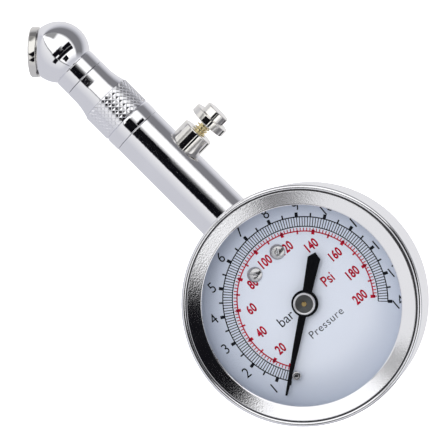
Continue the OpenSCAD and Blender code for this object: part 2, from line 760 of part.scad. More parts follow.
module collar() {
    bore_r = spigot_r + seated_gap;
    swivel_bore_r = swivel_r + running_gap;
    groove_r = swivel_r - clip_depth + 0.05 + clip_out + 0.85;
    nose_r = collar_nose_d / 2;
    color("silver") on_stem() turned([
        [bore_r, collar_start + 0.05], [collar_r - 0.1, collar_start + 0.05], [collar_r - 0.1, collar_start + 3.6],
        [collar_r - 0.35, collar_start + 3.6], [collar_r - 0.35, collar_start + 4], [collar_r, collar_start + 4],
        [collar_r, cone_start], [nose_r, nose_start], [nose_r, collar_end - 0.2], [nose_r - 0.2, collar_end],
        [swivel_bore_r, collar_end], [swivel_bore_r, clip_y + clip_t + 0.1], [groove_r, clip_y + clip_t + 0.1],
        [groove_r, clip_y - 0.1], [swivel_bore_r, clip_y - 0.1], [swivel_bore_r, swivel_bore_start],
        [stem_bore_d / 2 + 0.5, swivel_bore_start], [stem_bore_d / 2 + 0.5, collar_spigot_end],
        [bore_r, collar_spigot_end]
    ]);
}

module collar_seal() {
    color("dimgray") on_stem() ring(
        stem_bore_d / 2 + 0.3, spigot_r - 0.1, collar_start + stem_spigot_len, 1);
}

module chuck_head() {
    clip_r = swivel_r - clip_depth;
    oring_r = swivel_r - oring_depth;
    color("silver") difference() {
        union() {
            on_stem() turned([
                [0, swivel_start], [swivel_r - 0.2, swivel_start], [swivel_r, swivel_start + 0.2],
                [swivel_r, oring_y - oring_w / 2], [oring_r, oring_y - oring_w / 2],
                [oring_r, oring_y + oring_w / 2], [swivel_r, oring_y + oring_w / 2],
                [swivel_r, clip_y], [clip_r, clip_y], [clip_r, clip_y + clip_t],
                [swivel_r, clip_y + clip_t], [swivel_r, neck_start], [neck_r, neck_start],
                [neck_r, neck_groove_y], [neck_r - 0.2, neck_groove_y + 0.1],
                [neck_r - 0.2, neck_groove_y + 0.3], [neck_r, neck_groove_y + 0.4],
                [neck_r, ball_y - 2], [0, ball_y - 2]
            ]);
            translate([0, ball_y, stem_z]) sphere(r = ball_r);
        }
        on_mouth() translate([0, 0, mouth_flat]) cylinder(r = ball_r, h = ball_r);
        on_mouth() translate([0, 0, chuck_seal_z]) cylinder(r = cap_spigot_r + seated_gap, h = ball_r);
        on_mouth() translate([0, 0, chamber_foot]) cylinder(r = chamber_r, h = ball_r);
        on_stem() cylinder(r = 1.5, h = ball_y - 0.5);
    }
}

module swivel_oring() {
    wire_r = oring_depth / 2 + 0.01;
    middle = swivel_r - oring_depth + 0.02 + wire_r;
    color("dimgray") on_stem() translate([0, 0, oring_y]) rotate_extrude()
        translate([middle, 0]) circle(r = wire_r - 0.01, $fn = small);
}

module swivel_clip() {
    inner = swivel_r - clip_depth + 0.02;
    color("gray") on_stem() difference() {
        ring(inner, swivel_r + clip_out, clip_y + 0.05, clip_t - 0.1);
        translate([0, -1, clip_y - 1]) cube([swivel_r + 2, 2, 3]);
    }
}

module chuck_seal() {
    color("dimgray") on_mouth() ring(seal_hole_r, cap_spigot_r - 0.05, chuck_seal_z, seal_t);
}

module chuck_cap() {
    color("silver") on_mouth() turned([
        [mouth_r, cap_foot], [cap_spigot_r, cap_foot], [cap_spigot_r, cap_start],
        [cap_r - 0.2, cap_start], [cap_r, cap_start + 0.2], [cap_r, cap_end - 0.3],
        [cap_r - 0.3, cap_end], [mouth_r, cap_end]
    ]);
}

module depressor_pin() {
    color("goldenrod") on_mouth() {
        translate([0, 0, poppet_z]) cylinder(r = poppet_r, h = poppet_t, $fn = small);
        translate([0, 0, poppet_z]) cylinder(r = depressor_r, h = chuck_seal_top - 0.05 - poppet_z, $fn = small);
    }
}

module depressor_spring() {
    color("silver") on_mouth() coil(
        poppet_r - depressor_wire, depressor_wire, chamber_foot + 0.05, poppet_z - chamber_foot - 0.1, 4);
}

case();
case_screws();
bezel();
lens();
lens_gasket();
dial();
dial_screws();
stop_pin();
pointer();
pointer_hub();
socket_block();
bourdon_tube();
bourdon_tip();
link();
tail_pin();
sector_gear();
sector_arbor();
pinion();
hairspring();
movement_bottom_plate();
movement_top_plate();
movement_pillars();
pillar_screws();
movement_screws();
stem();
stem_seal();
bleed_body();
bleed_gasket();
bleed_spring();
bleed_pin();
bleed_seal();
bleed_button();
collar();
collar_seal();
chuck_head();
swivel_oring();
swivel_clip();
chuck_seal();
chuck_cap();
depressor_pin();
depressor_spring();
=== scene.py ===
"""Tyre pressure gauge: the looks of a hand-held dial gauge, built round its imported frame."""

import json
import math

import bmesh
import bpy
from bpy.props import FloatProperty, FloatVectorProperty, IntProperty, PointerProperty
from bpy.types import Operator, Panel, PropertyGroup
from mathutils import Matrix, Vector


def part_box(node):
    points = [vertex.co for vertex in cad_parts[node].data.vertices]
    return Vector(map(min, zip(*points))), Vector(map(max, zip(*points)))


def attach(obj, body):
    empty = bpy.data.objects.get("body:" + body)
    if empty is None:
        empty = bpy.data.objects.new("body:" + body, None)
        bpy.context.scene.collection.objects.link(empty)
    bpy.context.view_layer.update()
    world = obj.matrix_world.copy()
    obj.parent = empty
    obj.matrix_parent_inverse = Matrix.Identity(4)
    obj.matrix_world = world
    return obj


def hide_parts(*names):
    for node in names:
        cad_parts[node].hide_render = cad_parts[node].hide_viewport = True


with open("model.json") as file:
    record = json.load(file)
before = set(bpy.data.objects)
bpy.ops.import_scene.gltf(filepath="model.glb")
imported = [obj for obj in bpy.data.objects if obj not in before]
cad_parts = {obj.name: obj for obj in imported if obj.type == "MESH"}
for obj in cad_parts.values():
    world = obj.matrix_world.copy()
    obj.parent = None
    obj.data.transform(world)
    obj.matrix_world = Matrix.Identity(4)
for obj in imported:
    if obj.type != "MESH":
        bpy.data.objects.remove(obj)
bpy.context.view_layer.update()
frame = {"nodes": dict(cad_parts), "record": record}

bl_info = {
    "name": "Tyre Pressure Gauge",
    "version": (1, 0, 0),
    "blender": (4, 5, 0),
    "location": "View3D > Sidebar > Gauge",
    "description": "Builds a hand-held dial gauge with a stem, a bleed valve and a swivelling chuck",
    "category": "Add Mesh",
}

MM = 0.001
FULL_TURN = 2 * math.pi
MERGE = 2e-6
PRINT_LIFT = 0.02 * MM
SEAM = 1e-4
NONE, HALF, SOME, FULL = [(level, level, level) for level in (0, 0.5, 0.85, 1)]


def low(node):
    """The lowest corner of a CAD node."""
    return Vector(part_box(node)[0])


def high(node):
    """The highest corner of a CAD node."""
    return Vector(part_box(node)[1])


# Levels and radii that the frame settles.
CASE_R = high("case").x
CASE_BACK = low("case").z
SEAT_TOP = high("case").z
BEZEL_FOOT = low("bezel").z
FRONT = high("bezel").z
LENS_FOOT = low("lens").z
LENS_TOP = high("lens").z
LENS_R = high("lens").x
DIAL_TOP = high("dial").z
DIAL_R = high("dial").x
NEEDLE_FOOT = low("pointer").z
BOSS_TOP = high("pointer").z
HUB_R = high("pointer_hub").x
HUB_TOP = high("pointer_hub").z
STEM_R = high("stem").x
STEM_Z = (low("stem").z + high("stem").z) / 2
COLLAR_START = low("collar").y
COLLAR_END = high("collar").y
COLLAR_R = high("collar").x
BALL_R = high("chuck_head").x
BALL_Y = high("chuck_head").y - BALL_R
BLEED_Y = (low("bleed_body").y + high("bleed_body").y) / 2
MOUTH_TILT = math.radians(45)


# ---------------------------------------------------------------- sizes and colours


class GaugeShapeSettings(PropertyGroup):
    """Sizes that the frame leaves open."""

    steps: IntProperty(
        name="Steps Round", description="Faces round a turned piece", default=144, min=48, max=256)
    window_radius: FloatProperty(
        name="Window Radius", description="Radius of the bezel's inner edge",
        default=25.5 * MM, unit="LENGTH")
    face_dish: FloatProperty(
        name="Face Dish", description="Rise of the bezel's face from the window to its rim",
        default=0.45 * MM, unit="LENGTH")
    knurl_columns: IntProperty(
        name="Knurl Columns", description="Diamonds round the collar", default=32, min=16, max=64)
    knurl_rows: IntProperty(
        name="Knurl Rows", description="Diamonds along the collar", default=6, min=3, max=12)
    knurl_depth: FloatProperty(
        name="Knurl Depth", description="Depth of the cuts between the diamonds",
        default=0.16 * MM, unit="LENGTH")
    knurl_gap: FloatProperty(
        name="Knurl Gap", description="Half the width of the cuts between the diamonds",
        default=0.11 * MM, unit="LENGTH")


class GaugeDialSettings(PropertyGroup):
    """The printed scales."""

    turn: FloatProperty(
        name="Dial Turn", description="Turn of the print about the dial's centre",
        default=math.radians(-4.9), subtype="ANGLE")
    shift: FloatVectorProperty(
        name="Print Shift", description="How far the print sits off the centre",
        default=(0.47 * MM, 0.7 * MM), size=2, unit="LENGTH")
    last_angle: FloatProperty(
        name="Last Mark", description="Turn from the dial's top to the scale's last mark",
        default=math.radians(-131.1), subtype="ANGLE")
    bar_step: FloatProperty(
        name="Step of the Outer Scale", description="Angle between two numbers of the outer scale",
        default=math.radians(19.31), subtype="ANGLE")
    first_bar: FloatProperty(
        name="First Mark", description="Reading of the outer scale's first mark", default=0.5)
    psi_per_bar: FloatProperty(
        name="Psi per Bar", description="Ratio of the two scales", default=14.5)
    bar_full: IntProperty(name="Bar Range", description="Last number of the outer scale", default=14)
    psi_full: IntProperty(name="Psi Range", description="Last number of the inner scale", default=200)
    band_outer: FloatProperty(
        name="Band Outer Radius", description="Outer circle of the ruled band",
        default=21.1 * MM, unit="LENGTH")
    band_inner: FloatProperty(
        name="Band Inner Radius", description="Inner circle of the ruled band",
        default=18.65 * MM, unit="LENGTH")
    red_circle: FloatProperty(
        name="Red Circle Radius", description="Circle of the inner scale",
        default=17.45 * MM, unit="LENGTH")
    bar_number_radius: FloatProperty(
        name="Outer Number Radius", description="Radius where the outer numbers sit",
        default=24.05 * MM, unit="LENGTH")
    bar_number_height: FloatProperty(
        name="Outer Number Height", description="Height of the outer numbers",
        default=2.7 * MM, unit="LENGTH")
    psi_number_radius: FloatProperty(
        name="Inner Number Radius", description="Radius where the inner numbers sit",
        default=14.0 * MM, unit="LENGTH")
    psi_number_height: FloatProperty(
        name="Inner Number Height", description="Height of the inner numbers",
        default=2.6 * MM, unit="LENGTH")


class GaugeFinishSettings(PropertyGroup):
    """Colours of the finishes."""

    chrome: FloatVectorProperty(
        name="Chrome", description="Mirror plating", default=(0.9, 0.9, 0.925, 1), size=4, subtype="COLOR")
    nickel: FloatVectorProperty(
        name="Nickel", description="Warm bright plating of the bleed valve",
        default=(0.9, 0.88, 0.84, 1), size=4, subtype="COLOR")
    brass: FloatVectorProperty(
        name="Brass", description="Machined brass", default=(0.78, 0.56, 0.24, 1), size=4, subtype="COLOR")
    bronze: FloatVectorProperty(
        name="Bronze", description="Drawn tube and springs",
        default=(0.66, 0.36, 0.16, 1), size=4, subtype="COLOR")
    steel: FloatVectorProperty(
        name="Steel", description="Plain screws and pins", default=(0.62, 0.62, 0.63, 1), size=4,
        subtype="COLOR")
    dial: FloatVectorProperty(
        name="Dial Enamel", description="Ground colour of the dial",
        default=(0.81, 0.86, 0.97, 1), size=4, subtype="COLOR")
    red_ink: FloatVectorProperty(
        name="Red Ink", description="Inner scale", default=(0.5, 0.006, 0.03, 1), size=4, subtype="COLOR")
    black_ink: FloatVectorProperty(
        name="Black Ink", description="Outer scale", default=(0.007, 0.008, 0.012, 1), size=4,
        subtype="COLOR")
    rubber: FloatVectorProperty(
        name="Rubber", description="Seals and gaskets", default=(0.02, 0.02, 0.022, 1), size=4,
        subtype="COLOR")


# ---------------------------------------------------------------- tools of the bench


def fresh(add, name, **options):
    """Adds one object by an operator, with nothing else selected, and names it."""
    bpy.ops.object.select_all(action="DESELECT")
    add(**options)
    piece = bpy.context.active_object
    piece.name = name
    if piece.data:
        piece.data.name = name
    return piece


def apply_place():
    """Puts the active piece's place, turn and scale into its mesh."""
    bpy.ops.object.transform_apply(location=True, rotation=True, scale=True)


def close_edit():
    """Faces every face outwards and leaves edit mode."""
    bpy.ops.mesh.select_all(action="SELECT")
    bpy.ops.mesh.normals_make_consistent(inside=False)
    bpy.ops.object.mode_set(mode="OBJECT")


def modify(piece, kind, **values):
    """Adds a modifier, sets its values and applies it."""
    only(piece)
    bpy.ops.object.modifier_add(type=kind)
    modifier = piece.modifiers[-1]
    for key, value in values.items():
        setattr(modifier, key, value)
    bpy.ops.object.modifier_apply(modifier=modifier.name)


def about_z(angle):
    """A turn about Z."""
    return Matrix.Rotation(angle, 3, "Z")


def pick(piece, kind, test):
    """In edit mode, selects only the vertices, edges or faces that pass the test."""
    bpy.ops.mesh.select_all(action="DESELECT")
    mesh = bmesh.from_edit_mesh(piece.data)
    for part in getattr(mesh, kind):
        if test(part):
            part.select_set(True)
    mesh.select_flush_mode()
    bmesh.update_edit_mesh(piece.data)


def select_mode(kind):
    """Sets the edit mode's selection to vertices, edges or faces."""
    bpy.ops.mesh.select_mode(type={"verts": "VERT", "edges": "EDGE", "faces": "FACE"}[kind])


def draw_outline(name, outline, closed):
    """Draws an outline in the XZ plane and stays in edit mode.

    Its corners are (radius, height) or (radius, height, rounding in millimetres).
    """
    piece = fresh(bpy.ops.mesh.primitive_plane_add, name, size=MM)
    bpy.ops.object.mode_set(mode="EDIT")
    select_mode("verts")
    bpy.ops.mesh.select_all(action="SELECT")
    bpy.ops.mesh.merge(type="CENTER")
    corners = [Vector((c[0], 0, c[1])) for c in outline]
    bpy.ops.transform.translate(value=corners[0])
    for here, there in zip(corners, corners[1:]):
        bpy.ops.mesh.extrude_vertices_move(TRANSFORM_OT_translate={"value": there - here})
    if closed:
        pick(piece, "verts", lambda v: min((v.co - corners[0]).length, (v.co - corners[-1]).length) < MERGE)
        bpy.ops.mesh.edge_face_add()
    for corner, spec in zip(corners, outline):
        if len(spec) > 2:
            pick(piece, "verts", lambda v: (v.co - corner).length < MERGE)
            bpy.ops.mesh.bevel(offset_type="OFFSET", offset=spec[2] * MM, segments=5,
                               affect="VERTICES", clamp_overlap=True)
    return piece


def turn(name, outline, steps, closed=True, angle=FULL_TURN, crease=32):
    """Turns an outline about Z, as on a lathe, and shades it."""
    piece = draw_outline(name, outline, closed)
    bpy.ops.mesh.select_all(action="SELECT")
    bpy.ops.mesh.spin(steps=steps, angle=angle, center=(0, 0, 0), axis=(0, 0, 1))
    bpy.ops.mesh.select_all(action="SELECT")
    bpy.ops.mesh.remove_doubles(threshold=MERGE)
    if angle < FULL_TURN:
        pick(piece, "edges", lambda e: e.is_boundary)
        bpy.ops.mesh.edge_face_add()
    close_edit()
    shade(piece, crease)
    return piece


def shade(piece, crease=32):
    """Smooths the shading over soft edges and keeps flats flat."""
    only(piece)
    bpy.ops.object.shade_smooth_by_angle(angle=math.radians(crease))
    modify(piece, "WEIGHTED_NORMAL", keep_sharp=True)


def only(*pieces):
    """Selects only these pieces, and makes the first one active."""
    bpy.ops.object.select_all(action="DESELECT")
    for piece in pieces:
        piece.select_set(True)
    bpy.context.view_layer.objects.active = pieces[0]


def settle(piece, move=(0, 0, 0), turned=None):
    """Turns and moves a piece, and puts its place into its mesh."""
    only(piece)
    spin = turned.to_4x4() if turned else Matrix.Identity(4)
    piece.matrix_world = Matrix.Translation(move) @ spin @ piece.matrix_world
    apply_place()
    return piece


ALONG_STEM = Matrix.Rotation(math.radians(-90), 3, "X")
OUT_OF_VALVE = Matrix.Rotation(math.radians(90), 3, "Y")
OUT_OF_MOUTH = about_z(MOUTH_TILT) @ ALONG_STEM


def on_stem(piece):
    """Lays a piece that was turned about Z along the stem."""
    return settle(piece, (0, 0, STEM_Z), ALONG_STEM)


def on_valve(piece):
    """Lays a piece that was turned about Z along the bleed valve."""
    return settle(piece, (0, BLEED_Y, STEM_Z), OUT_OF_VALVE)


def on_mouth(piece):
    """Lays a piece that was turned about Z along the chuck's mouth."""
    return settle(piece, (0, BALL_Y, STEM_Z), OUT_OF_MOUTH)


def join(name, pieces):
    """Joins pieces into one."""
    only(*pieces)
    if len(pieces) > 1:
        bpy.ops.object.join()
    piece = bpy.context.active_object
    piece.name = name
    piece.data.name = name
    return piece


def array_round(piece, count, step):
    """Repeats a piece round Z by equal turns."""
    guide = fresh(bpy.ops.object.empty_add, "guide", rotation=(0, 0, step))
    modify(piece, "ARRAY", count=count, use_relative_offset=False, use_object_offset=True,
           offset_object=guide)
    bpy.data.objects.remove(guide)
    return piece


def cut(piece, cutter):
    """Cuts one piece out of another."""
    modify(piece, "BOOLEAN", object=cutter, operation="DIFFERENCE", solver="EXACT")
    bpy.data.objects.remove(cutter)


def dress(piece, material, body, slot, *nodes):
    """Gives a piece its finish and its body, and hides the CAD nodes it stands for. The slot is not used.
    """
    piece.data.materials.clear()
    piece.data.materials.append(material)
    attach(piece, body)
    if nodes:
        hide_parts(*nodes)
    return piece


# ---------------------------------------------------------------- finishes


def plain(name, inputs):
    """A material whose shader has these inputs and no pattern."""
    material = bpy.data.materials.new(name)
    material.use_nodes = True
    shader = material.node_tree.nodes["Principled BSDF"]
    for key, value in inputs.items():
        shader.inputs[key].default_value = value
    return material


class Finish:
    """A procedural material under construction, on Object coordinates."""

    def __init__(self, name, color, metallic, roughness):
        self.material = plain(name, {"Base Color": color, "Metallic": metallic, "Roughness": roughness})
        self.nodes = self.material.node_tree.nodes
        self.links = self.material.node_tree.links
        self.shader = self.nodes["Principled BSDF"]
        self.place = self.nodes.new("ShaderNodeTexCoord").outputs["Object"]

    def add(self, kind, links=(), **values):
        """Adds a node, sets its properties and inputs, and links what feeds it."""
        node = self.nodes.new(kind)
        for key, value in values.items():
            if hasattr(node, key):
                setattr(node, key, value)
            else:
                node.inputs[key.replace("_", " ").title()].default_value = value
        for source, target in links:
            self.links.new(source, node.inputs[target])
        return node

    def noise(self, scale, detail=3.0, stretch=(1, 1, 1)):
        """A noise pattern, stretched along the axes."""
        mapping = self.add("ShaderNodeMapping", [(self.place, "Vector")])
        mapping.inputs["Scale"].default_value = stretch
        return self.add(
            "ShaderNodeTexNoise", [(mapping.outputs["Vector"], "Vector")], scale=scale, detail=detail
        ).outputs["Fac"]

    def ramp(self, source, low_value, high_value, start=0.3, end=0.7):
        """Maps a pattern to a range of values."""
        node = self.add("ShaderNodeMapRange", [(source, "Value")])
        keys = ("From Min", "From Max", "To Min", "To Max")
        for key, value in zip(keys, (start, end, low_value, high_value)):
            node.inputs[key].default_value = value
        return node.outputs["Result"]

    def tint(self, source, color_low, color_high):
        """Blends two colours by a pattern into the base colour."""
        node = self.add("ShaderNodeMix", data_type="RGBA")
        self.links.new(source, node.inputs["Factor"])
        node.inputs[6].default_value = color_low
        node.inputs[7].default_value = color_high
        self.links.new(node.outputs[2], self.shader.inputs["Base Color"])

    def rough(self, source):
        """Drives the roughness by a pattern."""
        self.links.new(source, self.shader.inputs["Roughness"])

    def bump(self, source, distance, strength=1.0):
        """Drives fine relief by a pattern."""
        node = self.add("ShaderNodeBump", [(source, "Height")])
        node.inputs["Distance"].default_value = distance
        node.inputs["Strength"].default_value = strength
        self.links.new(node.outputs["Normal"], self.shader.inputs["Normal"])


def shade_of(color, factor):
    """A darker or lighter version of a colour."""
    return [min(1.0, c * factor) for c in color[:3]] + [1]


def grained(name, color, metallic, roughness, patch, tones, roughnesses, grain, relief):
    """A finish with a patchy tone and gloss and a fine relief."""
    finish = Finish(name, color, metallic, roughness)
    tone = finish.noise(*patch)
    finish.tint(finish.ramp(tone, 0, 1), *[shade_of(color, factor) for factor in tones])
    finish.rough(finish.ramp(tone, *roughnesses))
    finish.bump(finish.noise(*grain), relief)
    return finish.material


def plating(name, color, roughness=0.03, relief=0.004 * MM, grain=2600):
    """Mirror plating with faint smudges and the fine ripple of polished metal."""
    return grained(name, color, 1.0, roughness, (70, 4), (0.965, 1),
                   (roughness * 0.6, roughness * 1.8), (grain, 2), relief)


def sanded(name, color, roughness=0.08):
    """Plating over a sanded face, with the sparkle of its grain."""
    return grained(name, color, 1.0, roughness, (60, 4), (0.95, 1),
                   (roughness * 0.7, roughness * 1.4), (3000, 2), 0.009 * MM)


def machined(name, color, roughness=0.28, grain=1400):
    """Machined metal with a dull patchy tone."""
    return grained(name, color, 1.0, roughness, (220, 4), (0.72, 1),
                   (roughness * 0.7, roughness * 1.5), (grain, 3, (1, 6, 1)), 0.006 * MM)


def rubber(name, color):
    """Matt moulded rubber."""
    return grained(name, color, 0.0, 0.62, (500, 4), (0.7, 1.6), (0.5, 0.75), (2500, 3), 0.01 * MM)


def enamel(name, color):
    """Pale enamel of the dial, a little mottled, with painted shade darkening it towards the rim."""
    finish = Finish(name, color, 0.0, 0.42)
    patch = finish.noise(110, 5)
    reach = finish.add("ShaderNodeVectorMath", [(finish.place, 0)], operation="LENGTH").outputs["Value"]
    # Painted shade: the enamel darkens from 21.5 mm outwards, standing for the bezel's shadow on the dial's
    # rim.
    depth = finish.ramp(reach, 0, 1, 21.5 * MM, 31 * MM)
    mottle = finish.ramp(patch, -0.05, 0.05)
    blend = finish.add("ShaderNodeMath", [(depth, 0), (mottle, 1)], operation="ADD")
    # Darker, bluer tone of the painted rim shade.
    painted_rim_shade = [color[0] * 0.72, color[1] * 0.76, color[2] * 0.83, 1]
    finish.tint(blend.outputs["Value"], color, painted_rim_shade)
    finish.rough(finish.ramp(patch, 0.38, 0.5))
    finish.bump(finish.noise(1800, 3), 0.004 * MM)
    return finish.material


def ink(name, color, gloss=0.12):
    """Printed ink, a little uneven."""
    finish = Finish(name, color, 0.0, 0.6)
    finish.shader.inputs["Specular IOR Level"].default_value = gloss
    patch = finish.noise(900, 3)
    finish.tint(finish.ramp(patch, 0, 1), shade_of(color, 0.85), shade_of(color, 1.2))
    finish.rough(finish.ramp(patch, 0.42, 0.6))
    return finish.material


def clear_lens(name):
    """Clear plastic of the lens, nearly invisible but for its gloss."""
    finish = Finish(name, (0.03, 0.035, 0.045, 1), 0.0, 0.02)
    finish.shader.inputs["Alpha"].default_value = 0.035
    finish.shader.inputs["IOR"].default_value = 1.49
    finish.bump(finish.noise(40, 1), 0.002 * MM)
    return finish.material


# ---------------------------------------------------------------- pieces


class GaugeOperator(Operator):
    """What the gauge's operators share."""

    bl_options = {"REGISTER", "UNDO"}

    def settings(self, context):
        """The three groups of settings."""
        scene = context.scene
        return scene.gauge_shape, scene.gauge_dial, scene.gauge_finish


class OBJECT_OT_gauge_case(GaugeOperator):
    """Spins the case and cuts the two countersinks in its back"""

    bl_idname = "object.gauge_case"
    bl_label = "Case"

    def execute(self, context):
        shape, _, finish = self.settings(context)
        wall = 1.0 * MM
        barrel_top = BEZEL_FOOT - 0.1 * MM
        seat_r = CASE_R - 1.5 * MM
        seat_ri = DIAL_R + 0.2 * MM
        back = CASE_BACK + 1.2 * MM
        case = turn("case_shell", [
            (0, CASE_BACK), (CASE_R, CASE_BACK, 3.5), (CASE_R, barrel_top, 0.12),
            (seat_r, barrel_top), (seat_r, SEAT_TOP), (seat_ri, SEAT_TOP), (seat_ri, barrel_top - wall),
            (CASE_R - wall, barrel_top - wall), (CASE_R - wall, back, 2.4), (0, back),
        ], shape.steps, closed=False)
        spots = (low("case_screws") + high("case_screws")) / 2
        spread = (high("case_screws").x - low("case_screws").x) / 2
        head_r = (high("case_screws").y - low("case_screws").y) / 2
        for side in (-1, 1):
            sink = turn("countersink", [
                (0, CASE_BACK - 1 * MM), (head_r + 0.15 * MM, CASE_BACK - 1 * MM),
                (head_r + 0.15 * MM, CASE_BACK), (head_r - 1 * MM, CASE_BACK + 1.1 * MM),
                (head_r - 1 * MM, back + 1 * MM), (0, back + 1 * MM),
            ], 32, closed=False)
            settle(sink, (side * (spread - head_r), spots.y, 0))
            cut(case, sink)
        shade(case)
        dress(case, plating("bright_case_plating", finish.chrome, 0.05), "case", "brushed_metal", "case")
        return {"FINISHED"}


class OBJECT_OT_gauge_bezel(GaugeOperator):
    """Spins the screwed bezel with its dished face and its beaded skirt"""

    bl_idname = "object.gauge_bezel"
    bl_label = "Bezel"

    def execute(self, context):
        shape, _, finish = self.settings(context)
        bead_r = high("bezel").x - CASE_R
        bead_z = FRONT - 0.3 * MM - bead_r
        window = shape.window_radius
        dip = FRONT - shape.face_dish
        rim = CASE_R - 0.86 * MM
        skirt = CASE_R - 0.1 * MM
        inside = CASE_R - 1.45 * MM
        bead_from, bead_turn, bead_steps = 140, 210, 16
        swing = [math.radians(bead_from - bead_turn * i / bead_steps) for i in range(bead_steps + 1)]
        bead = [(CASE_R + bead_r * math.cos(a), bead_z + bead_r * math.sin(a)) for a in swing]
        bezel = turn("bezel_ring", [
            (window, LENS_TOP), (window, dip - 0.1 * MM, 0.1), (window + 0.28 * MM, dip, 0.1),
            (rim, FRONT, 0.14), (rim + 0.08 * MM, FRONT - 0.6 * MM),
            (rim + 0.42 * MM, FRONT - 0.6 * MM), *bead,
            (skirt, bead_z - bead_r - 0.4 * MM, 0.3), (skirt, BEZEL_FOOT, 0.15),
            (inside, BEZEL_FOOT), (inside, LENS_TOP),
        ], shape.steps)
        dress(bezel, sanded("sanded_bezel_plating", finish.chrome), "case", "bezel_metal", "bezel")
        # A black ring in the bezel's step: a painted shadow for the dark line between the face and the
        # bead.
        line = turn("bezel_groove_filling", [
            (rim + 0.06 * MM, FRONT - 0.62 * MM), (rim + 0.44 * MM, FRONT - 0.62 * MM),
            (rim + 0.42 * MM, FRONT - 0.42 * MM), (rim + 0.07 * MM, FRONT - 0.3 * MM),
        ], shape.steps)
        dress(line, rubber("groove_filling", finish.rubber), "case", "bezel_metal")
        return {"FINISHED"}


class OBJECT_OT_gauge_lens(GaugeOperator):
    """Spins the clear lens"""

    bl_idname = "object.gauge_lens"
    bl_label = "Lens"

    def execute(self, context):
        shape, _, _ = self.settings(context)
        lens = turn("lens_disc", [
            (0, LENS_FOOT), (LENS_R, LENS_FOOT, 0.15), (LENS_R, LENS_TOP, 0.15), (0, LENS_TOP),
        ], shape.steps, closed=False)
        dress(lens, clear_lens("clear_lens"), "case", "lens", "lens")
        return {"FINISHED"}


def dial_mark(name, radius, length, width, angle):
    """One printed mark, pointing outwards along an angle."""
    mark = fresh(
        bpy.ops.mesh.primitive_cube_add, name, size=1,
        location=(radius + length / 2, 0, DIAL_TOP + PRINT_LIFT / 2), scale=(length, width, PRINT_LIFT))
    apply_place()
    return settle(mark, turned=about_z(angle))


def dial_circle(name, radius, width, start, span, steps):
    """One printed circle line over part of a turn, clockwise from its start."""
    inner, outer = radius - width / 2, radius + width / 2
    top = DIAL_TOP + PRINT_LIFT
    line = turn(name, [(inner, DIAL_TOP), (outer, DIAL_TOP), (outer, top), (inner, top)],
                steps, angle=span - SEAM)
    return settle(line, turned=about_z(start))


def dial_word(text, middle, height, narrow=1.0, weight=0.0, spacing=1.0):
    """One printed word, centred on its middle."""
    word = fresh(bpy.ops.object.text_add, "word_" + text)
    word.data.body = text
    word.data.size = 1.0
    word.data.offset = weight
    word.data.space_character = spacing
    word.data.resolution_u = 4
    bpy.ops.object.convert(target="MESH")
    points = [v.co for v in word.data.vertices]
    left, right = min(p.x for p in points), max(p.x for p in points)
    foot, top = min(p.y for p in points), max(p.y for p in points)
    scale = height / (top - foot)
    word.scale = (scale * narrow, scale, 1)
    word.location = (middle[0] - (left + right) / 2 * scale * narrow,
                     middle[1] - (top + foot) / 2 * scale, DIAL_TOP + PRINT_LIFT)
    apply_place()
    bpy.ops.object.mode_set(mode="EDIT")
    bpy.ops.mesh.select_all(action="SELECT")
    bpy.ops.mesh.remove_doubles(threshold=MERGE)
    bpy.ops.mesh.select_all(action="SELECT")
    bpy.ops.mesh.extrude_region_move(TRANSFORM_OT_translate={"value": (0, 0, -PRINT_LIFT * 0.9)})
    close_edit()
    return word


